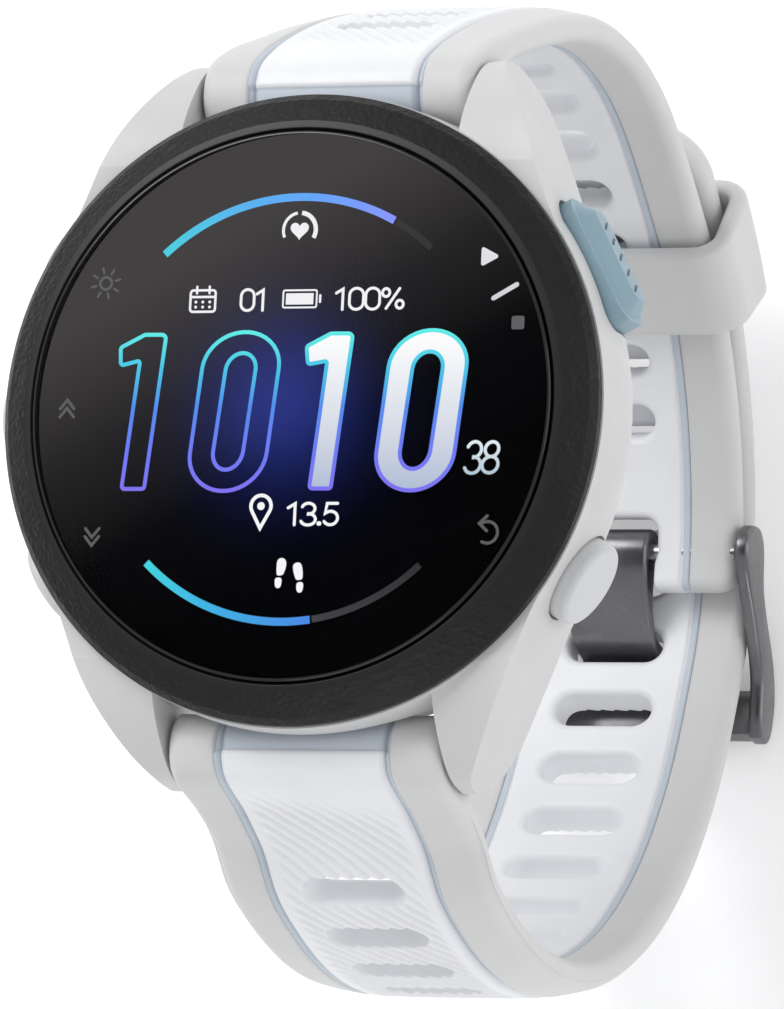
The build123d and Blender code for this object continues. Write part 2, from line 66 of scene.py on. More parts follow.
class Mat:
    """Small builder round a Principled material."""

    def __init__(self, name, colour, rough, metallic=0.0):
        self.m = bpy.data.materials.new(name)
        self.m.use_nodes = True
        self.t = self.m.node_tree
        self.n = self.t.nodes
        self.p = next(n for n in self.n if n.type == "BSDF_PRINCIPLED")
        self.p.inputs["Base Color"].default_value = colour
        self.p.inputs["Roughness"].default_value = rough
        self.p.inputs["Metallic"].default_value = metallic
        self.colour = colour
        self.co = self.n.new("ShaderNodeTexCoord")
        self.last_normal = None

    def link(self, a, b):
        self.t.links.new(a, b)

    def set(self, **kw):
        for k, v in kw.items():
            self.p.inputs[k.replace("_", " ")].default_value = v
        return self

    def noise(self, scale_mm, detail=3.0, rough=0.55, stretch=None):
        """Noise in object space whose features are about scale_mm across."""
        node = self.n.new("ShaderNodeTexNoise")
        node.inputs["Scale"].default_value = 1000.0 / scale_mm
        node.inputs["Detail"].default_value = detail
        node.inputs["Roughness"].default_value = rough
        if stretch:
            mp = self.n.new("ShaderNodeMapping")
            mp.inputs["Scale"].default_value = stretch
            self.link(self.co.outputs["Object"], mp.inputs["Vector"])
            self.link(mp.outputs["Vector"], node.inputs["Vector"])
        else:
            self.link(self.co.outputs["Object"], node.inputs["Vector"])
        return node.outputs["Fac"]

    def vary(self, scale_mm, low, high, detail=2.0):
        """Base colour moves between two multiples of the colour with a noise."""
        ramp = self.n.new("ShaderNodeValToRGB")
        c = self.colour
        ramp.color_ramp.elements[0].position = 0.3
        ramp.color_ramp.elements[1].position = 0.7
        ramp.color_ramp.elements[0].color = tuple(min(1.0, v * low) for v in c[:3]) + (1.0,)
        ramp.color_ramp.elements[1].color = tuple(min(1.0, v * high) for v in c[:3]) + (1.0,)
        self.link(self.noise(scale_mm, detail), ramp.inputs["Fac"])
        self.link(ramp.outputs["Color"], self.p.inputs["Base Color"])
        return self

    def rough_vary(self, scale_mm, low, high):
        mr = self.n.new("ShaderNodeMapRange")
        mr.inputs["To Min"].default_value = low
        mr.inputs["To Max"].default_value = high
        mr.inputs["From Min"].default_value = 0.3
        mr.inputs["From Max"].default_value = 0.7
        self.link(self.noise(scale_mm, 2.0), mr.inputs["Value"])
        self.link(mr.outputs["Result"], self.p.inputs["Roughness"])
        return self

    def bump(self, height, distance_mm, strength=1.0):
        b = self.n.new("ShaderNodeBump")
        b.inputs["Distance"].default_value = distance_mm * MM
        b.inputs["Strength"].default_value = strength
        self.link(height, b.inputs["Height"])
        if self.last_normal is not None:
            self.link(self.last_normal, b.inputs["Normal"])
        self.last_normal = b.outputs["Normal"]
        self.link(self.last_normal, self.p.inputs["Normal"])
        return self

    def voronoi(self, scale_mm, feature="F1", randomness=1.0):
        v = self.n.new("ShaderNodeTexVoronoi")
        v.feature = feature
        v.inputs["Scale"].default_value = 1000.0 / scale_mm
        v.inputs["Randomness"].default_value = randomness
        self.link(self.co.outputs["Object"], v.inputs["Vector"])
        return v.outputs["Distance"]


def moulded(name, colour, rough, grain=0.12, depth=0.006, vary=(0.975, 1.02)):
    """Moulded polymer or silicone with a fine satin grain."""
    m = Mat(name, colour, rough)
    m.vary(6.0, *vary)
    m.bump(m.noise(grain, 3.0), depth)
    m.rough_vary(2.5, rough - 0.04, rough + 0.04)
    return m


CASE = moulded("case_polymer", lin(209, 209, 209), 0.46, 0.16, 0.010).m
BUTTON_G = moulded("button_polymer", lin(207, 208, 210), 0.40, 0.16, 0.005).m
STRAP_G = moulded("strap_edge_silicone", lin(213, 213, 213), 0.50, 0.14, 0.004).set(Sheen_Weight=0.08).m
STRAP_W = moulded("strap_core_silicone", lin(240, 241, 244), 0.44, 0.13, 0.007).set(Sheen_Weight=0.08).m
# Bluish tone: the core's own side colour in the grooves beside the edges, and painted shade on the strip behind the
# barrel top, where the bezel shades the strap.
STRAP_GROOVE_AND_SHADE = moulded("strap_core_groove_and_painted_shade", lin(198, 207, 217), 0.5, 0.13, 0.004).m
BUTTON_B = moulded("start_button_polymer", lin(134, 163, 176), 0.42, 0.16, 0.005).m
BUTTON_MARK = moulded("start_button_grip", lin(60, 84, 98), 0.5, 0.16, 0.004).m

bez = Mat("bezel_grain", lin(17, 17, 18), 0.46)
bez.set(Specular_IOR_Level=0.30)
bez.vary(1.6, 0.85, 1.15)
bez.bump(bez.noise(0.75, 5.0, 0.65), 0.09, 0.8)
bez.bump(bez.voronoi(0.36), 0.05, 0.7)
bez.rough_vary(1.2, 0.36, 0.50)
BEZEL = bez.m
bzs = Mat("bezel_smooth", lin(20, 20, 21), 0.38)
bzs.set(Specular_IOR_Level=0.35)
bzs.vary(3.0, 0.9, 1.08)
bzs.bump(bzs.noise(0.2, 2.0), 0.004)
BEZEL_IN = bzs.m

st = Mat("buckle_steel_satin", lin(124, 124, 126), 0.24, 1.0)
st.vary(5.0, 0.9, 1.06)
st.bump(st.noise(0.12, 3.0, 0.6, (0.12, 1.0, 1.0)), 0.004, 0.6)
st.rough_vary(1.5, 0.26, 0.36)
STEEL = st.m
stp = Mat("pin_steel", lin(168, 168, 170), 0.24, 1.0)
stp.vary(4.0, 0.92, 1.04)
stp.bump(stp.noise(0.1, 2.0, 0.5, (1.0, 0.1, 0.1)), 0.002, 0.5)
PIN_STEEL = stp.m
gd = Mat("contact_gold_plate", lin(222, 186, 110), 0.25, 1.0)
gd.vary(1.0, 0.9, 1.06)
gd.bump(gd.noise(0.1, 2.0), 0.002)
GOLD = gd.m

COVER = moulded("back_cover_polymer", lin(58, 60, 63), 0.5, 0.2, 0.010, (0.92, 1.06)).m
SEAL = moulded("seal_rubber_black", lin(30, 30, 31), 0.7, 0.2, 0.006, (0.9, 1.08)).m
INNER = moulded("inner_frame_black", lin(40, 41, 43), 0.6, 0.3, 0.006, (0.9, 1.08)).m
SENSOR = moulded("sensor_window_dark", lin(12, 12, 14), 0.10, 0.5, 0.0004, (0.9, 1.08)).set(Coat_Weight=0.6).m
FLEX = moulded("flex_film_amber", lin(176, 112, 42), 0.35, 0.3, 0.002, (0.92, 1.05)).m
ANT = Mat("antenna_plating", lin(196, 186, 160), 0.3, 1.0)
ANT.vary(1.0, 0.9, 1.05)
ANT = ANT.m
pcb = Mat("board_solder_mask", lin(24, 92, 58), 0.4)
pcb.vary(0.7, 0.75, 1.15)
pcb.bump(pcb.voronoi(0.8), 0.01, 0.4)
BOARD = pcb.m
bat = Mat("battery_foil_wrap", lin(186, 188, 192), 0.32, 0.8)
bat.vary(2.0, 0.9, 1.05)
bat.bump(bat.noise(1.2, 3.0), 0.02, 0.5)
FOIL = bat.m
led = Mat("sensor_led_lens", lin(214, 224, 206), 0.12)
led.set(Coat_Weight=0.5)
led.vary(0.8, 0.85, 1.05)
LED = led.m
scr = Mat("screw_steel_black", lin(120, 120, 124), 0.3, 1.0)
scr.vary(0.6, 0.85, 1.08)
scr.bump(scr.noise(0.08, 2.0), 0.002)
SCREW = scr.m

gl = Mat("lens_glass_clear", (1, 1, 1, 1), 0.0)
gl.set(Transmission_Weight=1.0, IOR=1.1)
GLASS = gl.m

rim_ = Mat("lens_rim_black", lin(9, 9, 10), 0.12)
rim_.vary(4.0, 0.9, 1.1)
RIM = rim_.m

# Display panel: a dark light-emitting ground with a painted reflection that lightens it to the upper left, and the
# screen's own blue glow.
dp = Mat("display_ground_painted_reflection", lin(2, 2, 3), 0.6)
dp.set(Specular_IOR_Level=0.0)
sep = dp.n.new("ShaderNodeSeparateXYZ")
dp.link(dp.co.outputs["Object"], sep.inputs["Vector"])


def math_node(m, op, a, b=None, clamp=False):
    node = m.n.new("ShaderNodeMath")
    node.operation = op
    node.use_clamp = clamp
    for i, v in enumerate((a, b)):
        if v is None:
            continue
        if isinstance(v, (int, float)):
            node.inputs[i].default_value = v
        else:
            m.link(v, node.inputs[i])
    return node.outputs[0]


X, Y = sep.outputs["X"], sep.outputs["Y"]
# Painted reflection: a grey ramp along this slope lightens the ground towards the upper left, standing in for the lens
# reflecting the studio.
painted_reflection_slope = math_node(dp, "ADD", math_node(dp, "MULTIPLY", Y, 40.0), math_node(dp, "MULTIPLY", X, -22.0))
ramp = dp.n.new("ShaderNodeValToRGB")
painted_reflection_ramp = ramp.color_ramp
painted_reflection_ramp.elements[0].position = 0.0
painted_reflection_ramp.elements[0].color = (0, 0, 0, 1)
painted_reflection_ramp.elements[1].position = 1.0
painted_reflection_ramp.elements[1].color = (0.056, 0.051, 0.052, 1)
e = painted_reflection_ramp.elements.new(0.30)
e.color = (0.0015, 0.0015, 0.0018, 1)
e = painted_reflection_ramp.elements.new(0.62)
e.color = (0.017, 0.016, 0.017, 1)
dp.link(math_node(dp, "ADD", painted_reflection_slope, 0.42, True), ramp.inputs["Fac"])
dx = math_node(dp, "MULTIPLY", math_node(dp, "ADD", X, 0.0009), 1000.0)
dy = math_node(dp, "MULTIPLY", math_node(dp, "ADD", Y, -0.0003), 1000.0)
d2 = math_node(dp, "ADD", math_node(dp, "MULTIPLY", dx, dx), math_node(dp, "MULTIPLY", dy, dy))
glow = math_node(dp, "POWER", 2.718, math_node(dp, "MULTIPLY", d2, -0.042))
gcol = dp.n.new("ShaderNodeValToRGB")
gcol.color_ramp.elements[0].color = (0, 0, 0, 1)
gcol.color_ramp.elements[1].color = (0.014, 0.026, 0.20, 1)
dp.link(glow, gcol.inputs["Fac"])
mix = dp.n.new("ShaderNodeMix")
mix.data_type = "RGBA"
mix.blend_type = "ADD"
mix.inputs["Factor"].default_value = 1.0
dp.link(ramp.outputs["Color"], mix.inputs[6])
dp.link(gcol.outputs["Color"], mix.inputs[7])
dp.link(mix.outputs[2], dp.p.inputs["Emission Color"])
dp.p.inputs["Emission Strength"].default_value = 1.0
PANEL = dp.m


def glow_mat(name, stops, axis="Y", strength=1.0):
    """Light-emitting display colour, graded along one axis. stops are (mm, display colour)."""
    m = Mat(name, (0, 0, 0, 1), 0.6)
    m.set(Specular_IOR_Level=0.0)
    s = m.n.new("ShaderNodeSeparateXYZ")
    m.link(m.co.outputs["Object"], s.inputs["Vector"])
    lo, hi = stops[0][0], stops[-1][0]
    mr = m.n.new("ShaderNodeMapRange")
    mr.inputs["From Min"].default_value = lo * MM
    mr.inputs["From Max"].default_value = hi * MM
    m.link(s.outputs[axis], mr.inputs["Value"])
    r = m.n.new("ShaderNodeValToRGB")
    els = r.color_ramp.elements
    els[0].color = lin(*stops[0][1])
    els[1].color = lin(*stops[-1][1])
    for at, c in stops[1:-1]:
        els.new((at - lo) / (hi - lo)).color = lin(*c)
    m.link(mr.outputs["Result"], r.inputs["Fac"])
    m.link(r.outputs["Color"], m.p.inputs["Emission Color"])
    m.p.inputs["Emission Strength"].default_value = strength
    return m.m


# ------------------------------------------------------------ mesh helpers
def mesh_object(name, verts_mm, faces, mats, face_mat=None, smooth=True, sharp=None):
    """Object from vertices in millimetres and a list or array of faces."""
    me = bpy.data.meshes.new(name)
    v = np.asarray(verts_mm, float) * MM
    if isinstance(faces, np.ndarray):
        k = faces.shape[1]
        me.vertices.add(len(v))
        me.vertices.foreach_set("co", v.astype(np.float32).ravel())
        me.loops.add(faces.size)
        me.loops.foreach_set("vertex_index", faces.astype(np.int32).ravel())
        me.polygons.add(len(faces))
        me.polygons.foreach_set("loop_start", (np.arange(len(faces)) * k).astype(np.int32))
        me.update(calc_edges=True)
    else:
        me.from_pydata([tuple(p) for p in v], [], [tuple(int(i) for i in f) for f in faces])
    me.validate()
    me.update()
    for m in mats if isinstance(mats, (list, tuple)) else [mats]:
        me.materials.append(m)
    if face_mat is not None and len(me.polygons) == len(face_mat):
        me.polygons.foreach_set("material_index", np.asarray(face_mat, np.int32))
    me.polygons.foreach_set("use_smooth", [bool(smooth)] * len(me.polygons))
    if sharp is not None:
        me.set_sharp_from_angle(angle=math.radians(sharp))
    me.update()
    o = bpy.data.objects.new(name, me)
    SCENE.collection.objects.link(o)
    return o


def place(o, body, replaces=()):
    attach(o, body)
    if replaces:
        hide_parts(*replaces)
    return o


class Spline:
    """Natural cubic spline through points, by chord length."""

    def __init__(self, points):
        self.p = np.array(points, float)
        self.t = np.r_[0, np.cumsum(np.linalg.norm(np.diff(self.p, axis=0), axis=1))]
        n, h = len(self.t), np.diff(self.t)
        a = np.zeros((n, n))
        b = np.zeros((n, self.p.shape[1]))
        a[0, 0] = a[-1, -1] = 1
        for i in range(1, n - 1):
            a[i, i - 1], a[i, i], a[i, i + 1] = h[i - 1], 2 * (h[i - 1] + h[i]), h[i]
            b[i] = 6 * ((self.p[i + 1] - self.p[i]) / h[i] - (self.p[i] - self.p[i - 1]) / h[i - 1])
        self.m, self.h = np.linalg.solve(a, b), h

    def __call__(self, t):
        t = np.asarray(t, float)
        i = np.clip(np.searchsorted(self.t, t) - 1, 0, len(self.t) - 2)
        h = self.h[i][..., None]
        a = (self.t[i + 1] - t)[..., None] / h
        c = (t - self.t[i])[..., None] / h
        return a * self.p[i] + c * self.p[i + 1] + ((a**3 - a) * self.m[i] + (c**3 - c) * self.m[i + 1]) * h**2 / 6


def smooth_closed(points, n=12):
    """Closed Catmull-Rom loop through points."""
    p = np.array(points, float)
    out = []
    for i in range(len(p)):
        a, b, c, d = p[i - 1], p[i], p[(i + 1) % len(p)], p[(i + 2) % len(p)]
        for k in range(n):
            t = k / n
            out.append(0.5 * ((2 * b) + (c - a) * t + (2 * a - 5 * b + 4 * c - d) * t**2 + (3 * b - a - 3 * c + d) * t**3))
    return np.array(out)


# ------------------------------------------------------------ strap
LOOP_Y, LOOP_Z = -1.75, -22.9
STRAP_T, HALF, CORE = 2.7, 9.75, 6.3
LUG_Y, LUG_Z = 22.2, 3.8


def polar(angle, radius):
    a = math.radians(angle)
    return (LOOP_Y + radius * math.cos(a), LOOP_Z + radius * math.sin(a))


def inner_points(points, depth):
    out = []
    for i, (y, z) in enumerate(points):
        y0, z0 = points[max(i - 1, 0)]
        y1, z1 = points[min(i + 1, len(points) - 1)]
        ty, tz = y1 - y0, z1 - z0
        length = math.hypot(ty, tz)
        ny, nz = -tz / length, ty / length
        if (LOOP_Y - y) * ny + (LOOP_Z - z) * nz < 0:
            ny, nz = -ny, -nz
        out.append((y + depth * ny, z + depth * nz))
    return out


UPPER = [(22.2, 6.2), (23.75, 5.8), (25.1, 4.3), (26.3, 2.2), (27.5, -0.4), (28.7, -3.4), (29.85, -6.9), (30.95, -10.7),
         polar(14, 34.65), polar(8, 34.55), polar(0, 34.35), polar(-6, 34.05), polar(-12, 33.65), polar(-18, 33.15),
         polar(-24, 32.5), polar(-30, 31.9), polar(-36, 31.5)] + [
    polar(a, 31.4) for a in (-42, -50, -58, -66, -74, -82, -90)] + [polar(-94.2, 31.4)]
LOWER = [(-22.2, 6.2), (-23.7, 5.8), (-24.95, 4.2), (-26.0, 2.0), (-27.25, -0.1), (-28.75, -2.3), polar(148, 34.5),
         polar(155, 34.6), polar(162, 34.6), polar(169, 34.6), polar(176, 34.55), polar(183, 34.5), polar(190, 34.4),
         polar(197, 34.25), polar(204, 34.1), polar(211, 33.95), polar(218, 33.8), polar(225, 33.7)] + [
    polar(a, 33.6) for a in (232, 239, 245)] + [polar(252, 33.75), polar(258, 34.1), polar(264, 34.35)] + [
    polar(a, 34.4) for a in (270, 278, 286, 294, 302, 310, 318)] + [polar(326, 34.9), polar(333, 35.5)]
UPPER_IN = [(21.2, 1.62), (22.6, 1.25), (23.7, 0.3)] + inner_points(UPPER, STRAP_T)[4:]
LOWER_IN = [(-21.0, 1.65), (-22.2, 1.25), (-23.2, 0.3)] + inner_points(LOWER, STRAP_T)[4:]
UPPER_SLOTS = [33.4, 24.1, 13.2, 3.8, -5.5, -14.8, -24, -33.2, -42.4, -51.7, -61, -70]
LOWER_SLOTS = [148, 157, 166.1, 175.6, 184.8, 194, 203.2, 212.4, 221.6, 230.8, 240, 249.2, 258.6, 268, 276.8, 286, 295, 304, 313]


class Band:
    """A strap half: outer and inner lines as functions of the length s along the outer line."""

    def __init__(self, side, outer, inner, end_angle, end_radius):
        sg = 1 if side == "upper" else -1
        arc_o = [(sg * (LUG_Y + 2.4 * math.cos(math.radians(a))), LUG_Z + 2.4 * math.sin(math.radians(a))) for a in (180, 164, 148, 132, 116, 102)]
        arc_i = [(sg * (LUG_Y + 2.4 * math.cos(math.radians(a))), LUG_Z + 2.4 * math.sin(math.radians(a))) for a in (180, 196, 212, 228)]
        self.po, self.pi = Spline(arc_o + list(outer)), Spline(arc_i + list(inner))
        to, ti = self.po.t, self.pi.t
        a, b = len(arc_o), len(arc_i)
        ka = [0, to[a], to[a + 2], to[a + 4]] + [to[a + i] for i in range(5, len(outer))]
        kb = [0, ti[b + 1], ti[b + 2], ti[b + 3]] + [ti[b + i - 1] for i in range(5, len(outer))]
        tt = np.linspace(0, to[-1], 9000)
        p = self.po(tt)
        s = np.r_[0, np.cumsum(np.linalg.norm(np.diff(p, axis=0), axis=1))]
        q = self.pi(np.interp(tt, ka, kb))
        self.s, self.p, self.q = s, p, q
        self.top = float(np.interp(to[a], tt, s))
        ang = np.unwrap(np.arctan2(p[:, 1] - LOOP_Z, p[:, 0] - LOOP_Y))
        self.ang = np.degrees(ang)
        self.end = self.at(end_angle)
        self.end_radius = end_radius

    def at(self, angle):
        """Length along the outer line at a polar angle."""
        a = self.ang
        lo, hi = min(a[300], a[-1]), max(a[300], a[-1])
        while angle > hi + 1e-6:
            angle -= 360
        while angle < lo - 1e-6:
            angle += 360
        k = 300
        order = np.argsort(a[k:])
        return float(np.interp(angle, a[k:][order], self.s[k:][order]))

    def edge(self, s, x):
        """Distance inside the outline of the band."""
        r = self.end_radius
        qx, qs = np.abs(x) - (HALF - r), s - (self.end - r)
        corner = (qx > 0) & (qs > 0)
        return np.where(corner, r - np.hypot(np.maximum(qx, 0), np.maximum(qs, 0)), np.minimum(HALF - np.abs(x), self.end - s))

    def thick(self, s):
        return np.hypot(*(self._q(s) - self._p(s)).T)

    def _p(self, s):
        return np.c_[np.interp(s, self.s, self.p[:, 0]), np.interp(s, self.s, self.p[:, 1])]

    def _q(self, s):
        return np.c_[np.interp(s, self.s, self.q[:, 0]), np.interp(s, self.s, self.q[:, 1])]

    def point(self, s, x, depth):
        p, q = self._p(s), self._q(s)
        t = np.maximum(np.hypot(*(q - p).T), 1e-6)
        f = (np.minimum(depth, t) / t)[:, None]
        yz = p + (q - p) * f
        return np.c_[x, yz]


def rounding(e, r):
    """Drop of a rounded rim of radius r at a distance e inside the outline."""
    c = np.clip(r - e, 0, r)
    return r - np.sqrt(np.maximum(r * r - c * c, 0))


def slab_from_field(band, S, Xg, field, outer_drop, inner_drop, flare=None, rings=4):
    """Closed band piece. S, Xg are grids of s and x; field is the signed distance inside the piece."""
    rows, cols = S.shape
    idx = np.arange(rows * cols).reshape(rows, cols)
    quads = np.stack([idx[:-1, :-1], idx[:-1, 1:], idx[1:, 1:], idx[1:, :-1]], -1).reshape(-1, 4)
    s, x = S.ravel().copy(), Xg.ravel().copy()
    cs, cx = s[quads].mean(1), x[quads].mean(1)
    quads = quads[field(cs, cx) > 0]
    n = len(s)
    a = quads.ravel()
    b = np.roll(quads, -1, 1).ravel()
    key, rev = a.astype(np.int64) * n + b, b.astype(np.int64) * n + a
    edge = ~np.isin(key, rev)
    ea, eb = a[edge], b[edge]
    rim = np.unique(np.r_[ea, eb])
    h = 1e-3
    rs, rx = s[rim], x[rim]
    for _ in range(4):
        f = field(rs, rx)
        gs = (field(rs + h, rx) - field(rs - h, rx)) / (2 * h)
        gx = (field(rs, rx + h) - field(rs, rx - h)) / (2 * h)
        g2 = np.maximum(gs**2 + gx**2, 0.2)
        st = np.clip(f, -0.3, 0.3)
        rs, rx = rs - st * gs / g2, rx - st * gx / g2
    s[rim], x[rim] = rs, rx
    gs = (field(rs + h, rx) - field(rs - h, rx)) / (2 * h)
    gx = (field(rs, rx + h) - field(rs, rx - h)) / (2 * h)
    gl = np.maximum(np.hypot(gs, gx), 1e-6)
    gs, gx = gs / gl, gx / gl
    s = np.clip(s, 0, band.end)
    th = band.thick(s)
    do = np.minimum(outer_drop(s, x), 0.49 * th)
    di = np.minimum(inner_drop(s, x), 0.49 * th)
    top = band.point(s, x, do)
    si, xi = s.copy(), x.copy()
    if flare is not None:
        amt, ds, dx_ = flare(s, x)
        si, xi = s + amt * ds, x + amt * dx_
    bottom = band.point(si, xi, band.thick(si) - di)
    verts = [top, bottom]
    faces = [quads, quads[:, ::-1] + n]
    pos = np.full(n, -1)
    pos[rim] = np.arange(len(rim))
    prev = rim
    base = 2 * n
    rth, rdo, rdi = th[rim], do[rim], di[rim]
    if flare is not None:
        amt, ds, dx_ = flare(s[rim], x[rim])
        F = amt
    else:
        F = np.zeros(len(rim))
        ds = dx_ = F
    steps = [(0.0, 0.05, 0.0)]
    for k in range(1, rings + 1):
        steps.append((k / (rings + 1), 0.05, 0.0))
    stages = []
    for w, _, _ in steps[:1]:
        stages.append((rdo + 0.05, np.zeros(len(rim))))
    straight_end = rth - rdi - np.maximum(F, 0.05)
    for k in range(1, rings + 1):
        stages.append((rdo + 0.05 + (straight_end - rdo - 0.05) * k / rings, np.zeros(len(rim))))
    for th_ in (22, 45, 68):
        c, d = 1 - math.cos(math.radians(th_)), math.sin(math.radians(th_))
        stages.append((straight_end + np.maximum(F, 0.05) * d, F * c))
    for depth, off in stages:
        ring = band.point(np.clip(s[rim] + off * ds, 0, band.end), x[rim] + off * dx_, np.maximum(depth, 0))
        verts.append(ring)
        cur = base + np.arange(len(rim))
        ia, ib = pos[ea], pos[eb]
        pa = prev[ia] if prev is not rim else ea
        pb = prev[ib] if prev is not rim else eb
        faces.append(np.stack([pb, pa, cur[ia], cur[ib]], -1))
        prev = cur
        base += len(rim)
    ia, ib = pos[ea], pos[eb]
    faces.append(np.stack([prev[ib], prev[ia], ea + n, eb + n], -1))
    v = np.vstack(verts)
    f = np.vstack(faces)
    used = np.unique(f)
    remap = np.full(len(v), -1)
    remap[used] = np.arange(len(used))
    centre = (np.abs(x[quads]).mean(1), s[quads].mean(1))
    return v[used], remap[f], centre, len(quads)


def build_strap(side, band, slots, notch):
    k = 1.28 if side == "lower" else -1.28
    pitch = 1.38
    centres = [band.at(a) for a in slots]
    tip = side == "lower"

    def across(s, x):
        """Distance from the centre line, measured in from the outline round the tip."""
        return HALF - band.edge(s, x) if tip else np.abs(x)

    def slot_sdf(s, x):
        d = np.full(np.shape(s), 99.0)
        for c in centres:
            d = np.minimum(d, np.hypot(s - c, np.maximum(np.abs(x) - 2.35, 0)) - 1.3)
        if notch:
            qs, qx = (band.end - 5.56 + 1.0) - s, np.abs(x) - 2.65
            inside = np.minimum(np.maximum(qs, qx), 0)
            d = np.minimum(d, np.hypot(np.maximum(qs, 0), np.maximum(qx, 0)) + inside - 1.0)
        return d

    def field(s, x):
        f = np.minimum(CORE - across(s, x), slot_sdf(s, x))
        f = np.minimum(f, s)
        return f if tip else np.minimum(f, band.end - s)

    def crown(s, x):
        """The band is highest along its middle and falls off to its sides."""
        w = np.clip((s - band.top - 3.0) / 8.0, 0, 1) * np.clip((band.end - s) / 30.0, 0, 1)
        ax = np.abs(x)
        return w * (0.10 * (ax / 6.0) ** 2 + 0.62 * np.clip((ax - 5.6) / 4.15, 0, 1) ** 1.5)

    def ridges(s, x):
        ph = (s - k * x) / pitch
        ph = ph - np.floor(ph)
        saw = np.where(ph < 0.80, (ph / 0.80) ** 1.6, (1 - ph) / 0.20)
        ax = across(s, x)
        fade = np.clip((5.35 - ax) / 0.9, 0, 1)
        fade = fade * fade * (3 - 2 * fade)
        start = band.top + 4.2
        on = np.clip((s - start - 0.25 * (x if side == "lower" else -x)) / 3.0, 0, 1)
        off = np.clip((band.end - 4.0 - s) / 3.0, 0, 1)
        return 0.20 * saw * fade * on * off

    def outer_drop(s, x):
        ax = across(s, x)
        d = np.interp(ax, [0, 5.45, 5.55, 5.78, 5.9, 6.0, 6.12, 6.3], [0, 0, 0.03, 0.26, 0.55, 0.36, 0.24, 0.14])
        d = np.maximum(d, 0) + ridges(s, x) + crown(s, x)
        d = d + 0.22 * np.clip((band.top + 0.45 - s) / 0.3, 0, 1)
        if not tip:
            d = d + rounding(band.end - s, 0.9)
        sd = slot_sdf(s, x)
        return d + 0.06 * np.clip(1 - sd / 0.14, 0, 1) ** 2

    def inner_drop(s, x):
        ax = across(s, x)
        d = np.interp(ax, [0, 5.5, 5.6, 5.68, 5.78, 6.2, 6.3], [0, 0, 0.16, 0.2, 0.05, 0.06, 0.2])
        if not tip:
            d = d + rounding(band.end - s, 0.9)
        return d

    def flare(s, x):
        h = 1e-3
        sd = slot_sdf(s, x)
        gs = (slot_sdf(s + h, x) - slot_sdf(s - h, x)) / (2 * h)
        gx = (slot_sdf(s, x + h) - slot_sdf(s, x - h)) / (2 * h)
        g = np.maximum(np.hypot(gs, gx), 0.3)
        amt = 0.6 * np.clip(1 - sd / 1.6, 0, 1) ** 2
        clear = np.clip(band.end - 2.0 - s, 0, 1) if not tip else 1.0
        return amt * clear, gs / g, gx / g

    side_cols = [5.22, 5.32, 5.42, 5.5, 5.56, 5.62, 5.68, 5.74, 5.80, 5.85, 5.9, 5.95, 6.0, 6.06, 6.12, 6.2, 6.3]
    step = 0.115
    mid = list(np.linspace(-5.12, 5.12, 90))
    cols = np.array([-c for c in side_cols[::-1]] + mid + side_cols)
    rows = np.arange(0, band.end + step * 0.5, step)
    rows[-1] = band.end
    S = np.broadcast_to(rows[:, None], (len(rows), len(cols)))
    Xg = np.broadcast_to(cols[None, :], S.shape)
    if side == "lower":
        S, Xg = S[:, ::-1], Xg[:, ::-1]
    v, f, centre, nq = slab_from_field(band, S, Xg, field, outer_drop, inner_drop, flare)
    fm = np.zeros(len(f), int)
    fx, fs = centre
    ac = across(fs, fx)
    # Second material: on the outer face, the groove strip (the core's side colour) and, as painted shade, the strip
    # behind the barrel top. On the inner face, the groove strip.
    fm[:nq][(ac > 5.86) | (fs < band.top + 0.25)] = 1
    fm[nq:2 * nq][ac > 5.72] = 1
    core = mesh_object(side + "_strap_core_band", v, f, [STRAP_W, STRAP_GROOVE_AND_SHADE], fm)
    place(core, "watch", [side + "_strap_core"])

    # Edges
    def efield(s, x):
        f = np.minimum(across(s, x) - 6.27, band.edge(s, x))
        return np.minimum(f, s)

    def edrop(s, x, inner=False):
        ax = across(s, x)
        th = band.thick(s)
        r = np.minimum(0.95, 0.46 * th)
        d = rounding(band.edge(s, x), r)
        g = np.interp(ax, [6.27, 6.30, 6.36, 6.5], [0.5, 0.2, 0.06, 0.0])
        return d + np.minimum(g, 0.3 * th) + (0.0 if inner else crown(s, x))

    xs = [6.27, 6.30, 6.33, 6.37, 6.43, 6.5, 6.8, 7.2, 7.6, 8.0, 8.4, 8.7]
    xs += [HALF - 0.95 * (1 - math.cos(math.radians(a))) for a in (88, 80, 70, 60, 50, 40, 31, 22, 14, 7, 0)]
    xs = np.array(sorted(set(round(v_, 4) for v_ in xs)))
    if tip:
        cols = np.r_[-xs[::-1], np.linspace(-6.1, 6.1, 52), xs]
        rows = np.r_[np.arange(0, 14, 0.25), np.arange(14, band.end - 10, 0.5), np.arange(band.end - 10, band.end - 1.2, 0.14),
                     band.end - 0.95 * (1 - np.cos(np.radians(np.arange(100, -1, -8.0))))]
        rows = np.unique(np.round(rows, 4))
    else:
        cols = np.r_[-xs[::-1], xs]
        rows = np.r_[np.arange(0, 14, 0.25), np.arange(14, band.end - 2.2, 0.5), np.arange(band.end - 2.2, band.end - 0.01, 0.1), band.end]
    S = np.broadcast_to(rows[:, None], (len(rows), len(cols)))
    Xg = np.broadcast_to(cols[None, :], S.shape)
    if side == "lower":
        S, Xg = S[:, ::-1], Xg[:, ::-1]
    if not tip:
        base = efield
        gap = lambda s, x: np.where(np.abs(x) < 6.2, -1.0, base(s, x))
        fieldf = gap
    else:
        fieldf = efield
    v, f, _, _ = slab_from_field(band, S, Xg, fieldf, edrop, lambda s, x: edrop(s, x, True), None, 3)
    edges = mesh_object(side + "_strap_edge_rails", v, f, STRAP_G)
    place(edges, "watch", [side + "_strap_edges"])


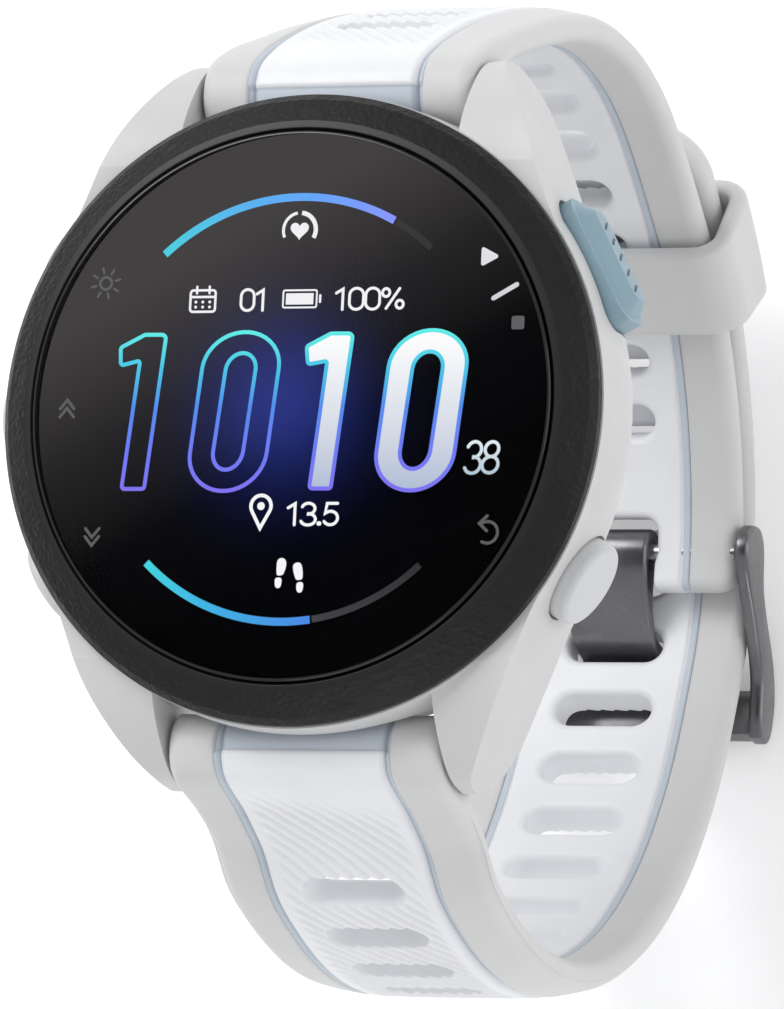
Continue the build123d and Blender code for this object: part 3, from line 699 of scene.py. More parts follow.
def volume(me):
    """Signed volume of a mesh in cubic millimetres."""
    me.calc_loop_triangles()
    co = np.empty(len(me.vertices) * 3, np.float32)
    me.vertices.foreach_get("co", co)
    tri = np.empty(len(me.loop_triangles) * 3, np.int32)
    me.loop_triangles.foreach_get("vertices", tri)
    p = co.reshape(-1, 3).astype(float)[tri.reshape(-1, 3)] / MM
    return float(np.einsum("ij,ij->i", p[:, 0], np.cross(p[:, 1], p[:, 2])).sum() / 6)


def window(name, side):
    """Cuts the window of the release lever, on the wrist side of the strap end."""
    o = bpy.data.objects[name]
    y = LUG_Y if side == "upper" else -LUG_Y
    v = [(x, y + b, z) for x in (3.8, 7.2) for b in (-1.05, 1.05) for z in (-0.6, 3.3)]
    f = [(0, 1, 3, 2), (4, 6, 7, 5), (0, 4, 5, 1), (2, 3, 7, 6), (0, 2, 6, 4), (1, 5, 7, 3)]
    c = mesh_object("cutter", v, f, o.data.materials[0], None, False)
    m = o.modifiers.new("cut", "BOOLEAN")
    m.operation, m.solver, m.object = "DIFFERENCE", "EXACT", c
    bpy.context.view_layer.update()
    me = bpy.data.meshes.new_from_object(o.evaluated_get(bpy.context.evaluated_depsgraph_get()))
    o.modifiers.clear()
    before, after = volume(o.data), volume(me)
    print("WINDOW", name, round(before, 1), round(after, 1), len(o.data.polygons), len(me.polygons))
    if 2.0 < before - after < 21.0:
        o.data = me
    bpy.data.objects.remove(c)


build_strap("upper", Band("upper", UPPER, UPPER_IN, -94.2, 1.6), UPPER_SLOTS, True)
build_strap("lower", Band("lower", LOWER, LOWER_IN, 331, 5.5), LOWER_SLOTS, False)
for side_ in ("upper", "lower"):
    window(side_ + "_strap_core_band", side_)
    window(side_ + "_strap_edge_rails", side_)


# ------------------------------------------------------------ lathe and loops
def lathe(name, profile, mats, zone=None, seg=288, closed=True, sharp=30):
    p = np.array(profile, float)
    n = len(p)
    a = np.linspace(0, 2 * math.pi, seg, endpoint=False)
    v = np.stack([np.outer(np.cos(a), p[:, 0]), np.outer(np.sin(a), p[:, 0]), np.tile(p[:, 1], (seg, 1))], -1).reshape(-1, 3)
    faces, fm = [], []
    m = n if closed else n - 1
    for i in range(seg):
        j = (i + 1) % seg
        for k_ in range(m):
            l = (k_ + 1) % n
            faces.append((i * n + k_, i * n + l, j * n + l, j * n + k_))
            fm.append(zone[k_] if zone else 0)
    return mesh_object(name, v, np.array(faces)[:, ::-1], mats, fm, True, sharp)


def rounded(points, radii, n=5):
    """Closed polygon with rounded corners."""
    p = np.array(points, float)
    out, tag = [], []
    for i in range(len(p)):
        a, b, c = p[i - 1], p[i], p[(i + 1) % len(p)]
        r = radii[i] if isinstance(radii, (list, tuple)) else radii
        if r <= 0:
            out.append(b)
            tag.append(i)
            continue
        u, w = (a - b) / np.linalg.norm(a - b), (c - b) / np.linalg.norm(c - b)
        ang = math.acos(max(-1, min(1, float(u @ w))))
        if abs(math.pi - ang) < 1e-3:
            out.append(b)
            tag.append(i)
            continue
        d = min(r / math.tan(ang / 2), 0.48 * np.linalg.norm(a - b), 0.48 * np.linalg.norm(c - b))
        rr = d * math.tan(ang / 2)
        centre = b + (u + w) / np.linalg.norm(u + w) * rr / math.sin(ang / 2)
        s0, s1 = b + u * d - centre, b + w * d - centre
        t0, t1 = math.atan2(s0[1], s0[0]), math.atan2(s1[1], s1[0])
        dt = (t1 - t0 + math.pi) % (2 * math.pi) - math.pi
        for k_ in range(n + 1):
            t = t0 + dt * k_ / n
            out.append(centre + rr * np.array([math.cos(t), math.sin(t)]))
            tag.append(i)
    return np.array(out), tag


prof, tag = rounded(
    [(17.3, 8.6), (18.9, 8.6), (18.9, 9.0), (21.25, 9.0), (21.25, 9.62), (20.78, 10.16), (19.22, 11.12), (18.72, 11.22), (18.58, 11.05), (18.58, 9.3), (17.3, 9.3)],
    [0, 0, 0, 0.08, 0.16, 0.18, 0.14, 0.06, 0.05, 0, 0], 4)
zone = [0 if tag[i] in (3, 4, 5, 6) and i + 1 < len(tag) and tag[i + 1] in (4, 5, 6, 7) and not (tag[i] == 6 and tag[(i + 1) % len(tag)] == 7) else 1 for i in range(len(prof))]
bezel = lathe("bezel_ring", prof, [BEZEL, BEZEL_IN], zone, 360)
place(bezel, "watch", ["bezel"])

# Keeper: a rounded strip bent round both strap layers.
kw = math.radians(14.4) * 31.6 / 2
strip, _ = rounded([(-kw, -0.68), (kw, -0.68), (kw, 0.68), (-kw, 0.68)], 0.5, 6)
path, _ = rounded([(-10.98, -3.88), (10.98, -3.88), (10.98, 3.88), (-10.98, 3.88)], 2.0, 14)
extra = []
for i in range(len(path)):
    a, b = path[i], path[(i + 1) % len(path)]
    m = max(1, int(np.linalg.norm(b - a) / 0.6))
    extra += [a + (b - a) * k_ / m for k_ in range(m)]
path = np.array(extra)
tan = np.roll(path, -1, 0) - np.roll(path, 1, 0)
tan /= np.linalg.norm(tan, axis=1)[:, None]
nor = np.c_[tan[:, 1], -tan[:, 0]]
sx = []
for i in range(len(strip)):
    a, b = strip[i], strip[(i + 1) % len(strip)]
    m = max(1, int(np.linalg.norm(b - a) / 0.5))
    sx += [a + (b - a) * k_ / m for k_ in range(m)]
strip = np.array(sx)
verts = []
for q, nn in zip(path, nor):
    for w, o_ in strip:
        xr = q + nn * o_
        ang = math.radians(-48.4) + w / 31.6
        R = 31.6 + xr[1]
        verts.append((xr[0], LOOP_Y + R * math.cos(ang), LOOP_Z + R * math.sin(ang)))
ns, npth = len(strip), len(path)
faces = [(i * ns + j, i * ns + (j + 1) % ns, ((i + 1) % npth) * ns + (j + 1) % ns, ((i + 1) % npth) * ns + j) for i in range(npth) for j in range(ns)]
keeper = mesh_object("keeper_band", verts, np.array(faces), STRAP_G)
place(keeper, "keeper", ["keeper_loop"])


# Lens: clear top with a rounded black rim, and the dark face laid under it.
lens_prof = [(0.0001, 11.42), (6.0, 11.42), (12.0, 11.42), (17.4, 11.42), (18.28, 11.41)]
lens_prof += [(18.3 + 0.2 * math.sin(math.radians(t)), 11.21 + 0.2 * math.cos(math.radians(t))) for t in (8, 20, 34, 48, 62, 76, 90)]
lens_prof += [(18.5, 10.6), (18.5, 10.0), (12.0, 10.0), (6.0, 10.0), (0.0001, 10.0)]
lz = [0] * 4 + [1] * 8 + [0] * 8
lens = lathe("lens_cover", lens_prof, [GLASS, RIM], lz[:len(lens_prof)], 288, False, 25)
place(lens, "watch", ["lens"])
face = lathe("display_face", [(0.0001, 10.35), (5.0, 10.35), (10.0, 10.35), (14.0, 10.35), (18.49, 10.35), (18.49, 10.33), (0.0001, 10.33)], [PANEL], None, 144, False, 25)
place(face, "watch")


def prism(name, outline, x0, x1, bevel, mat, seg=4):
    """Side profile in (y, z) carried from x0 to x1, with rounded rims."""
    p = np.array(outline, float)
    area2 = np.sum(p[:, 0] * np.roll(p[:, 1], -1) - np.roll(p[:, 0], -1) * p[:, 1])
    if area2 < 0:
        p = p[::-1]
    t = np.roll(p, -1, 0) - np.roll(p, 1, 0)
    t /= np.maximum(np.linalg.norm(t, axis=1), 1e-9)[:, None]
    inward = np.c_[-t[:, 1], t[:, 0]]
    st = []
    for k_ in range(seg + 1):
        a_ = math.pi / 2 * k_ / seg
        st.append((x0 + bevel * (1 - math.sin(a_)), bevel * (1 - math.cos(a_))))
    st = [(x, i) for x, i in st][::-1]
    st = [(x0 + bevel * (1 - math.cos(math.pi / 2 * k_ / seg)), bevel * (1 - math.sin(math.pi / 2 * k_ / seg))) for k_ in range(seg + 1)]
    st += [(x0 + x1 - x, i) for x, i in st[::-1]]
    n = len(p)
    verts = [(x, *(q + w * i)) for x, i in st for q, w in zip(p, inward)]
    faces = [tuple(range(n))[::-1]]
    for r in range(len(st) - 1):
        faces += [(r * n + j, r * n + (j + 1) % n, (r + 1) * n + (j + 1) % n, (r + 1) * n + j) for j in range(n)]
    faces.append(tuple(range((len(st) - 1) * n, len(st) * n)))
    return mesh_object(name, verts, faces, mat, None, True, 38)


def sample(points, n):
    sp = Spline(points)
    return [tuple(q) for q in sp(np.linspace(0, sp.t[-1], n))]


PY, PZ = -1.2, -52.5
arm = sample([(0.75, -51.9), (-0.4, -50.65), (-2.4, -50.9), (-5.0, -52.6), (-7.8, -54.3), (-10.6, -55.3), (-12.9, -55.3), (-14.3, -55.6)], 60)[:-1]
arm += sample([(-14.3, -55.6), (-14.6, -57.0), (-13.0, -58.0), (-10.4, -58.1), (-8.0, -57.2), (-5.4, -55.6), (-2.7, -54.6), (-0.6, -54.4), (0.7, -53.4), (0.75, -51.9)], 70)[:-1]


def bore(o, x0, x1, r):
    """Cuts a round hole along x at the buckle pin."""
    n = 36
    v = [(x, PY + r * math.cos(2 * math.pi * i / n), PZ + r * math.sin(2 * math.pi * i / n)) for x in (x0, x1) for i in range(n)]
    f = [tuple(range(n)), tuple(range(n, 2 * n))[::-1]] + [(i, n + i, n + (i + 1) % n, (i + 1) % n) for i in range(n)]
    c = mesh_object("cutter", v, f, o.data.materials[0], None, False)
    m = o.modifiers.new("cut", "BOOLEAN")
    m.operation, m.solver, m.object = "DIFFERENCE", "EXACT", c
    bpy.context.view_layer.update()
    me = bpy.data.meshes.new_from_object(o.evaluated_get(bpy.context.evaluated_depsgraph_get()))
    o.modifiers.clear()
    o.data = me
    bpy.data.objects.remove(c)
    me.polygons.foreach_set("use_smooth", [True] * len(me.polygons))
    me.set_sharp_from_angle(angle=math.radians(38))


for nm, x0, x1 in (("right", 10.0, 11.1), ("left", -11.1, -10.0)):
    o = prism("buckle_arm_" + nm, arm, x0, x1, 0.3, STEEL)
    bore(o, min(x0, x1) - 0.2, max(x0, x1) + 0.2, 0.5)
    place(o, "buckle_frame_body", ["buckle_frame"])
bar = sample([(-10.7, -57.0), (-11.4, -56.45), (-13.0, -55.85), (-14.0, -55.75)], 18)[:-1]
bar += sample([(-14.0, -55.75), (-14.45, -56.5), (-13.6, -57.6), (-12.0, -58.05), (-10.9, -57.9), (-10.7, -57.0)], 30)[:-1]
o = prism("buckle_cross_bar", bar, -10.2, 10.2, 0.05, STEEL, 2)
place(o, "buckle_frame_body", ["buckle_frame"])

barrel = [(PY + 1.75 * math.cos(math.radians(a)), PZ + 1.75 * math.sin(math.radians(a))) for a in np.linspace(232, 455, 34)]
tongue = sample([barrel[-1], (-2.15, -50.83), (-3.4, -51.18), (-5.2, -52.0), (-7.0, -53.05), (-8.2, -54.55), (-8.85, -55.9), (-9.9, -56.72)], 60)[1:]
tongue += [(-10.02, -56.95), (-10.02, -57.25), (-9.9, -57.5), (-9.7, -57.58)]
tongue += sample([(-9.7, -57.58), (-8.75, -57.2), (-7.95, -56.3), (-7.5, -55.15), (-7.1, -54.1), (-6.0, -53.35), (-4.3, -52.98), (-3.1, -53.2), barrel[0]], 60)[1:-1]
o = prism("buckle_tongue_plate", barrel + tongue, -3.2, 3.2, 0.28, STEEL)
place(o, "tongue", ["buckle_tongue"])


# ------------------------------------------------------------ display graphics
GZ = 10.385


def ribbon(points, width, closed=False, cap=True):
    """Flat stroke of constant width along a polyline. Returns vertices and faces."""
    p = np.array(points, float)
    if closed and np.linalg.norm(p[0] - p[-1]) < 1e-6:
        p = p[:-1]
    n = len(p)
    if closed:
        d1, d0 = np.roll(p, -1, 0) - p, p - np.roll(p, 1, 0)
    else:
        d1 = np.vstack([p[1:] - p[:-1], p[-1] - p[-2]])
        d0 = np.vstack([p[1] - p[0], p[1:] - p[:-1]])
    d0 /= np.linalg.norm(d0, axis=1)[:, None]
    d1 /= np.linalg.norm(d1, axis=1)[:, None]
    t = d0 + d1
    t /= np.maximum(np.linalg.norm(t, axis=1), 1e-9)[:, None]
    nrm = np.c_[-t[:, 1], t[:, 0]]
    k_ = np.maximum(np.abs((np.c_[-d0[:, 1], d0[:, 0]] * nrm).sum(1)), 0.5)
    off = nrm * (width / 2 / k_)[:, None]
    v = np.vstack([p + off, p - off])
    m = n if closed else n - 1
    f = [(i, n + i, n + (i + 1) % n, (i + 1) % n) for i in range(m)]
    if cap and not closed:
        for end, d in ((0, -d1[0]), (n - 1, d0[-1])):
            c = len(v)
            a0 = math.atan2(d[1], d[0])
            arc = [p[end] + width / 2 * np.array([math.cos(a0 + a), math.sin(a0 + a)]) for a in np.linspace(-math.pi / 2, math.pi / 2, 7)]
            v = np.vstack([v, arc])
            f.append(tuple(range(c, c + 7)))
    return v, f


class Layer:
    """Collects flat shapes at one height, then makes a single thin piece of them."""

    def __init__(self, name, mat, z=GZ):
        self.v, self.f, self.name, self.mat, self.z = [], [], name, mat, z

    def add(self, v, f):
        b = len(self.v)
        self.v += [tuple(q) for q in v]
        self.f += [tuple(i + b for i in g) for g in f]

    def stroke(self, points, width, closed=False, cap=True):
        self.add(*ribbon(points, width, closed, cap))

    def fill(self, points):
        self.add(points, [tuple(range(len(points)))])

    def done(self):
        n, th = len(self.v), 0.012
        verts = [(x, y, self.z) for x, y in self.v] + [(x, y, self.z - th) for x, y in self.v]
        faces, count = [], {}
        for g in self.f:
            a = np.array([self.v[i] for i in g])
            area = 0.5 * np.sum(a[:, 0] * np.roll(a[:, 1], -1) - np.roll(a[:, 0], -1) * a[:, 1])
            g = g if area > 0 else g[::-1]
            faces.append(g)
            faces.append(tuple(i + n for i in g[::-1]))
            for i, j in zip(g, g[1:] + g[:1]):
                count[(i, j)] = count.get((i, j), 0) + 1
        for (i, j) in count:
            if (j, i) not in count:
                faces.append((j, i, i + n, j + n))
        o = mesh_object(self.name, verts, faces, self.mat, None, False)
        return place(o, "watch")


def stadium(cx, top, bottom, hx, cap_t, cap_b, shear, n=20):
    """Upright ring of two half ellipses and straight sides, leaning by shear."""
    pts = []
    for a in np.linspace(0, math.pi, n):
        pts.append((hx * math.cos(a), top - cap_t + cap_t * math.sin(a)))
    for a in np.linspace(math.pi, 2 * math.pi, n):
        pts.append((hx * math.cos(a), bottom + cap_b + cap_b * math.sin(a)))
    return np.array([(cx + x + shear * y, y) for x, y in pts])


CY = [(-5.7, (128, 116, 240)), (-3.0, (112, 124, 244)), (0.0, (86, 140, 238)), (2.6, (76, 196, 232)), (5.1, (100, 236, 232))]
line_mat = glow_mat("display_digit_line", CY)
fill_mat = glow_mat("display_digit_fill", [(-5.6, (176, 190, 214)), (-2.5, (206, 212, 226)), (1.5, (232, 236, 242)), (5.0, (255, 255, 255))])
lines = Layer("display_hour_minute_outline", line_mat, GZ)
fills = Layer("display_minute_fill", fill_mat, GZ - 0.014)
shade = Layer("display_minute_shade", glow_mat("display_digit_shade", [(-5.6, (70, 84, 150)), (5.0, (120, 176, 196))]), GZ - 0.007)

one_a, _ = rounded([(-12.78, 4.12), (-11.05, 4.98), (-9.51, 4.97), (-10.55, -5.44), (-12.19, -5.44), (-11.32, 3.24), (-12.71, 2.9)], [0.25, 0.3, 0.3, 0.2, 0.2, 0.15, 0.2], 4)
one_b, _ = rounded([(0.64, 4.09), (2.34, 4.94), (3.91, 4.93), (2.86, -5.45), (1.33, -5.44), (2.17, 3.12), (0.79, 2.88)], [0.25, 0.3, 0.3, 0.2, 0.2, 0.15, 0.2], 4)
zero = lambda cx: (stadium(cx, 5.1, -5.6, 2.76, 2.45, 2.55, 0.098), stadium(cx, 3.68, -4.17, 1.08, 1.15, 1.25, 0.108))
for pts in (one_a, one_b):
    lines.stroke(pts, 0.27, True)
for cx in (-4.30, 9.05):
    for ring in zero(cx):
        lines.stroke(ring, 0.27, True)
fills.fill([tuple(p) for p in one_b])
o_, i_ = zero(9.05)
n_ = len(o_)
fills.add(np.vstack([o_, i_]), [(k_, (k_ + 1) % n_, n_ + (k_ + 1) % n_, n_ + k_) for k_ in range(n_)])
lines.done()
fills.done()

# Arcs of progress, above and below.
def arc_pts(cx, cy, r, a0, a1, n=60):
    return [(cx + r * math.cos(math.radians(a)), cy + r * math.sin(math.radians(a))) for a in np.linspace(a0, a1, n)]


acx, acy, ar = -0.25, 0.09 - 0.18, 14.27
top_mat = glow_mat("display_arc_top", [(-10.3, (78, 208, 222)), (-4.0, (92, 178, 240)), (0.5, (100, 166, 250)), (6.8, (138, 150, 252))], "X")
bot_mat = glow_mat("display_arc_bottom", [(-10.3, (70, 212, 222)), (-6.0, (66, 180, 228)), (2.2, (74, 132, 226))], "X")
grey_mat = glow_mat("display_arc_rest", [(0.0, (70, 70, 74)), (9.6, (52, 52, 54))], "X")
a = Layer("display_arc_top_lit", top_mat)
a.stroke(arc_pts(acx, acy, ar, 132.6, 61.9), 0.53, False, False)
a.done()
a = Layer("display_arc_bottom_lit", bot_mat)
a.stroke(arc_pts(acx, acy, ar, 226.3, 278.4), 0.53, False, False)
a.done()
a = Layer("display_arc_unlit", grey_mat)
a.stroke(arc_pts(acx, acy, ar, 61.2, 48.6), 0.46, False, False)
a.stroke(arc_pts(acx, acy, ar, 279.0, 312.8), 0.46, False, False)
a.done()

# Small numerals, drawn as strokes in a box one unit high.
def ell(cx, cy, rx, ry, a0, a1, n=18):
    return [(cx + rx * math.cos(math.radians(t)), cy + ry * math.sin(math.radians(t))) for t in np.linspace(a0, a1, n)]


GLYPH = {
    "0": ([ell(0.29, 0.68, 0.25, 0.32, 0, 180, 14) + ell(0.29, 0.32, 0.25, 0.32, 180, 360, 14)], True, 0.58),
    "1": ([[(0.06, 0.78), (0.30, 0.97), (0.30, 0.0)]], False, 0.50),
    "3": ([ell(0.27, 0.74, 0.23, 0.25, 160, -88, 16) + ell(0.27, 0.25, 0.26, 0.26, 88, -160, 18)], False, 0.56),
    "5": ([[(0.50, 0.98), (0.14, 0.98), (0.08, 0.52)] + ell(0.27, 0.31, 0.25, 0.31, 128, -150, 18)], False, 0.57),
    "8": ([ell(0.28, 0.75, 0.22, 0.235, 0, 360, 26), ell(0.28, 0.26, 0.26, 0.26, 0, 360, 28)], True, 0.57),
    "%": ([ell(0.18, 0.78, 0.13, 0.19, 0, 360, 18), ell(0.68, 0.22, 0.13, 0.19, 0, 360, 18)], True, 0.86),
    ".": ([ell(0.10, 0.06, 0.035, 0.035, 0, 360, 10)], True, 0.22),
}


def numerals(layer, text, x0, y0, height, width_total, stroke, shear=0.0, yaw=0.0):
    natural = sum(GLYPH[c][2] for c in text) - 0.04
    sxx = width_total / (natural * height)
    x = 0.0
    for c in text:
        polys, closed, w = GLYPH[c]
        for poly in polys:
            pts = [(x0 + (x + px) * height * sxx + shear * py * height, y0 + py * height) for px, py in poly]
            layer.stroke(pts, stroke, closed)
        if c == "%":
            layer.stroke([(x0 + (x + px) * height * sxx + shear * py * height, y0 + py * height) for px, py in ((0.20, 0.03), (0.66, 0.97))], stroke)
        x += w


white = Layer("display_small_figures", glow_mat("display_white", [(-14, (246, 246, 248)), (14, (240, 240, 243))]))
numerals(white, "01", -4.32, 6.55, 1.42, 1.95, 0.19)
numerals(white, "100%", 2.45, 6.55, 1.42, 4.95, 0.19)
numerals(white, "13.5", -0.22, -7.88, 1.46, 3.7, 0.20)
cool = Layer("display_seconds", glow_mat("display_cool_white", [(-4.6, (176, 196, 210)), (-2.3, (226, 236, 240))]))
numerals(cool, "38", 12.2, -4.45, 2.1, 2.35, 0.22, 0.09)
cool.done()

# Calendar mark in place of the weekday, then the battery.
cal, _ = rounded([(-7.9, 6.5), (-6.1, 6.5), (-6.1, 7.95), (-7.9, 7.95)], 0.2, 4)
white.stroke(cal, 0.16, True)
white.stroke([(-7.85, 7.5), (-6.15, 7.5)], 0.16, False, False)
for bx in (-7.45, -6.55):
    white.stroke([(bx, 7.75), (bx, 8.2)], 0.16)
for bx in (-7.5, -7.0, -6.5):
    for by in (6.82, 7.16):
        white.fill(ell(bx, by, 0.1, 0.1, 0, 345, 12))
bt, _ = rounded([(-1.22, 6.72), (1.18, 6.72), (1.18, 7.88), (-1.22, 7.88)], 0.12, 4)
white.stroke(bt, 0.12, True)
white.fill([(-1.02, 6.92), (0.95, 6.92), (0.95, 7.68), (-1.02, 7.68)])
white.stroke([(1.43, 7.08), (1.43, 7.52)], 0.16)

# Gauge mark at the top: an open ring round a heart.
white.stroke(arc_pts(-0.29, 11.95, 1.16, 205, 100, 24), 0.20, False, False)
white.stroke(arc_pts(-0.29, 11.95, 1.16, 84, -28, 26), 0.30, False, False)
heart = []
for t in np.linspace(0, 2 * math.pi, 40, endpoint=False):
    heart.append((-0.29 + 0.041 * 16 * math.sin(t) ** 3, 11.95 + 0.041 * (13 * math.cos(t) - 5 * math.cos(2 * t) - 2 * math.cos(3 * t) - math.cos(4 * t))))
white.fill(heart[::-1])

# Distance mark: a route pin.
pin = [(-2.05 + 0.72 * math.cos(math.radians(t)), -6.62 + 0.72 * math.sin(math.radians(t))) for t in np.linspace(-32, 212, 28)] + [(-2.05, -8.1)]
white.stroke(pin, 0.24, True)
white.fill(ell(-2.05, -6.62, 0.27, 0.27, 0, 345, 16))

# Step mark: a pair of soles.
for cx, cy, lean in ((-0.46, -11.0, 0.10), (0.90, -11.3, -0.10)):
    sole = smooth_closed([(cx - 0.34 + lean, cy + 0.55), (cx - 0.18 + lean, cy + 0.86), (cx + 0.16 + lean, cy + 0.86), (cx + 0.33 + lean, cy + 0.5), (cx + 0.27, cy - 0.12), (cx + 0.05, cy - 0.26), (cx - 0.21, cy - 0.18)], 5)
    white.fill([tuple(p) for p in sole])
    heel = smooth_closed([(cx - 0.22 - lean, cy - 0.52), (cx + 0.02 - lean, cy - 0.40), (cx + 0.24 - lean, cy - 0.52), (cx + 0.20 - lean, cy - 0.98), (cx - lean, cy - 1.12), (cx - 0.20 - lean, cy - 0.96)], 5)
    white.fill([tuple(p) for p in heel])
white.done()

# Marks printed near the rim beside each button.
def radial_frame(x, y, turn=0.0):
    a = math.atan2(y, x) + turn
    u, w = np.array([math.cos(a), math.sin(a)]), np.array([-math.sin(a), math.cos(a)])
    return lambda p, q: tuple(np.array([x, y]) + u * p + w * q)


grey = Layer("display_rim_marks", glow_mat("display_rim_grey", [(-14, (92, 92, 94)), (14, (98, 98, 100))]))
bright = Layer("display_rim_marks_bright", glow_mat("display_rim_bright", [(5.0, (196, 196, 200)), (12.0, (236, 236, 238))]))
g = radial_frame(-14.1, 8.5)
grey.stroke([g(0.42 * math.cos(t), 0.42 * math.sin(t)) for t in np.linspace(0, 2 * math.pi, 20, endpoint=False)], 0.18, True)
for t in np.linspace(0, 2 * math.pi, 8, endpoint=False):
    grey.stroke([g(0.72 * math.cos(t), 0.72 * math.sin(t)), g(1.05 * math.cos(t), 1.05 * math.sin(t))], 0.16)
grey.stroke([(-16.95, 0.0), (-16.45, 0.6), (-15.95, 0.0)], 0.2)
grey.stroke([(-16.95, -0.55), (-16.45, 0.05), (-15.95, -0.55)], 0.2)
grey.stroke([(-14.65, -8.1), (-14.15, -8.7), (-13.65, -8.1)], 0.2)
grey.stroke([(-14.65, -8.65), (-14.15, -9.25), (-13.65, -8.65)], 0.2)
grey.stroke(ell(14.1, -8.4, 0.72, 0.72, 120, -120, 22), 0.2)
grey.stroke([(14.05, -7.3), (13.5, -7.8), (14.05, -8.3)], 0.2)
sq, _ = rounded([(15.1, 5.1), (16.0, 5.1), (16.0, 6.0), (15.1, 6.0)], 0.15, 4)
grey.fill([tuple(p) for p in sq])
grey.done()
tri, _ = rounded([(12.75, 9.3), (14.1, 10.0), (12.75, 10.7)], 0.14, 4)
bright.fill([tuple(p) for p in tri])
bright.stroke([(13.75, 7.2), (15.35, 8.1)], 0.32)
bright.done()


# Grip ridges on the start button.
def grip():
    al = math.radians(28.5)
    rad, tanv = np.array([math.cos(al), math.sin(al), 0]), np.array([-math.sin(al), math.cos(al), 0])
    zed = np.array([0, 0, 1.0])
    verts, faces = [], []
    for k_ in range(5):
        off = -2.4 + 1.2 * k_
        a_, b_ = np.array([off - 0.35, 4.3]), np.array([off + 0.35, 3.1])
        base = len(verts)
        rings = 6
        for i_ in range(rings + 1):
            t = i_ / rings
            q = a_ + (b_ - a_) * t
            w = 0.16 * math.sqrt(max(1e-4, 1 - (2 * t - 1) ** 4))
            for j in range(8):
                th = 2 * math.pi * j / 8
                d = (w * math.cos(th), 0.09 * math.sin(th))
                pos = rad * (22.93 + d[1]) + tanv * (q[0] + d[0]) + zed * q[1]
                verts.append(pos)
        for i_ in range(rings):
            for j in range(8):
                faces.append((base + i_ * 8 + j, base + i_ * 8 + (j + 1) % 8, base + (i_ + 1) * 8 + (j + 1) % 8, base + (i_ + 1) * 8 + j))
        faces.append(tuple(base + j for j in range(8))[::-1])
        faces.append(tuple(base + rings * 8 + j for j in range(8)))
    return mesh_object("start_button_grip", verts, faces, BUTTON_MARK)


place(grip(), "start_button_body")


# ------------------------------------------------------------ other materials on CAD pieces
def assign(node, mat):
    o = NODES[node]
    if not o.material_slots:
        return
    for s in o.material_slots:
        s.material = mat


FINISH = {
    "case_housing": CASE, "lens": GLASS, "lens_gasket": SEAL, "display_panel": PANEL, "display_frame": INNER,
    "display_flex": FLEX, "gps_antenna": ANT, "main_board": BOARD, "sensor_board": BOARD, "battery": FOIL,
    "beeper": PIN_STEEL, "vibration_motor": PIN_STEEL, "button_switches": PIN_STEEL, "back_cover": COVER, "cover_seal": SEAL,
    "back_screws": SCREW, "sensor_window": SENSOR, "sensor_leds": LED, "charge_socket": INNER, "charge_contacts": GOLD,
    "upper_spring_bar": PIN_STEEL, "lower_spring_bar": PIN_STEEL, "upper_release_pin": PIN_STEEL, "lower_release_pin": PIN_STEEL,
    "buckle_pin": PIN_STEEL, "start_button": BUTTON_B,
    "light_button": BUTTON_G, "up_button": BUTTON_G, "down_button": BUTTON_G, "back_button": BUTTON_G,
}
for n in NODES:
    if n.endswith("_clip"):
        FINISH[n] = PIN_STEEL
    elif n.endswith("_seal") and n not in FINISH:
        FINISH[n] = SEAL
for n, m in FINISH.items():
    assign(n, m)

# ------------------------------------------------------------ floor, camera, light
floor = bpy.data.meshes.new("floor")
zf = CAD_BOX[0][2] - 0.0002
floor.from_pydata([(-4, -4, zf), (4, -4, zf), (4, 4, zf), (-4, 4, zf)], [], [(0, 1, 2, 3)])
fm_ = Mat("floor_pale", (0.93, 0.93, 0.935, 1), 0.8)
fm_.vary(400.0, 0.995, 1.005)
fm_.set(Emission_Color=(1, 1, 1, 1), Emission_Strength=0.22)
floor.materials.append(fm_.m)
floor_o = bpy.data.objects.new("floor", floor)
SCENE.collection.objects.link(floor_o)

R = Matrix(((0.93182, 0.00237, 0.36290, 0.22292), (0.04883, 0.99007, -0.13183, -0.08487), (-0.35961, 0.14056, 0.92245, 0.55838), (0, 0, 0, 1)))
cam = bpy.data.cameras.new("camera")
cam.sensor_width = 36.0
cam.lens = 321.1
cam.clip_start = 0.01
cam.clip_end = 20
cam_o = bpy.data.objects.new("camera", cam)
SCENE.collection.objects.link(cam_o)
cam_o.matrix_world = R
SCENE.camera = cam_o
SCENE.view_settings.view_transform = "Standard"
SCENE.view_settings.look = "None"

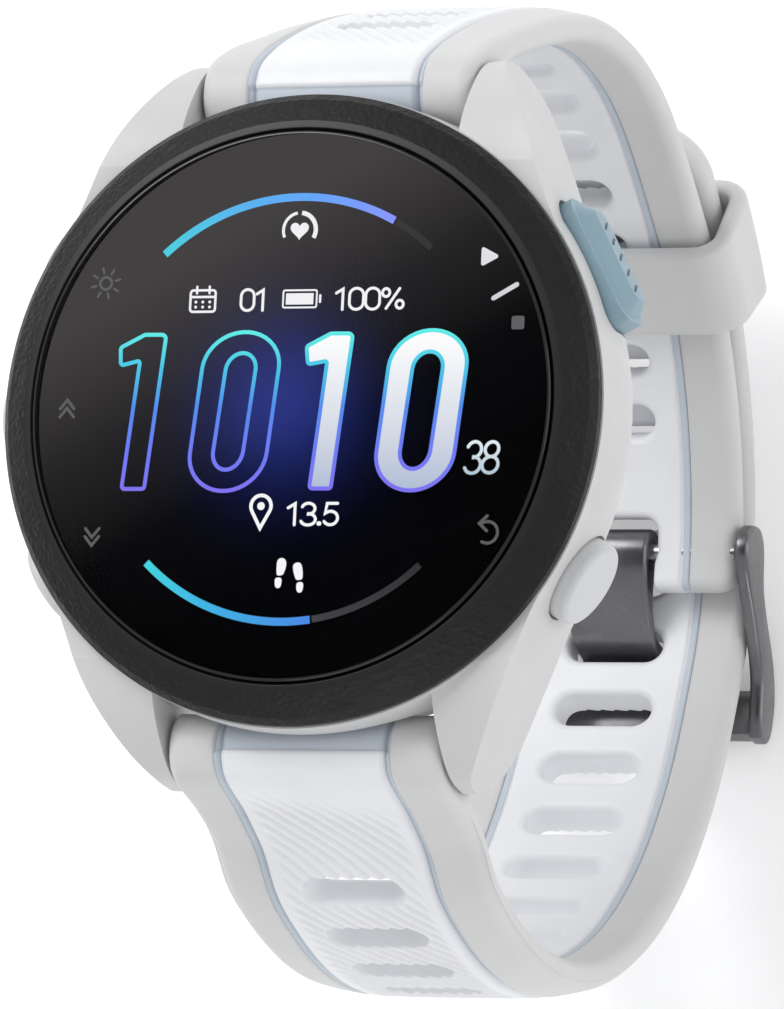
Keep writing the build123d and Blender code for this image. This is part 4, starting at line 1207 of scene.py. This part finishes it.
world = bpy.data.worlds.new("studio")
SCENE.world = world
world.use_nodes = True
bg = next(n for n in world.node_tree.nodes if n.type == "BACKGROUND")
wt = world.node_tree
wc = wt.nodes.new("ShaderNodeTexCoord")
ws = wt.nodes.new("ShaderNodeSeparateXYZ")
wr = wt.nodes.new("ShaderNodeValToRGB")
wm = wt.nodes.new("ShaderNodeMapRange")
wm.inputs["From Min"].default_value = -1.0
wt.links.new(wc.outputs["Generated"], ws.inputs["Vector"])
wt.links.new(ws.outputs["Z"], wm.inputs["Value"])
wt.links.new(wm.outputs["Result"], wr.inputs["Fac"])
we = wr.color_ramp.elements
we[0].position, we[0].color = 0.0, (0.56, 0.56, 0.57, 1)
we[1].position, we[1].color = 1.0, (0.72, 0.73, 0.74, 1)
we.new(0.47).color = (0.36, 0.36, 0.365, 1)
we.new(0.62).color = (0.66, 0.66, 0.665, 1)
we.new(0.86).color = (0.92, 0.92, 0.925, 1)
wt.links.new(wr.outputs["Color"], bg.inputs["Color"])
bg.inputs["Strength"].default_value = 0.76


def area(name, loc, target, size, power, colour=(1, 1, 1)):
    l = bpy.data.lights.new(name, "AREA")
    l.shape = "RECTANGLE"
    l.size, l.size_y = size
    l.energy = power
    l.color = colour
    o = bpy.data.objects.new(name, l)
    SCENE.collection.objects.link(o)
    d = np.array(loc, float) - np.array(target, float)
    d /= np.linalg.norm(d)
    up = np.array([0, 0, 1.0]) if abs(d[2]) < 0.95 else np.array([0, 1.0, 0])
    xa = np.cross(up, d)
    xa /= np.linalg.norm(xa)
    ya = np.cross(d, xa)
    o.matrix_world = Matrix(((xa[0], ya[0], d[0], loc[0]), (xa[1], ya[1], d[1], loc[1]), (xa[2], ya[2], d[2], loc[2]), (0, 0, 0, 1)))
    return o


area("key_softbox", (-0.45, 0.55, 0.75), (0, 0, -0.01), (0.55, 0.55), 5.0)
area("side_softbox", (0.9, 0.15, 0.25), (0, 0, -0.02), (0.5, 0.7), 1.5)
area("front_fill", (0.05, -0.9, 0.45), (0, 0, -0.02), (0.8, 0.4), 1.5)
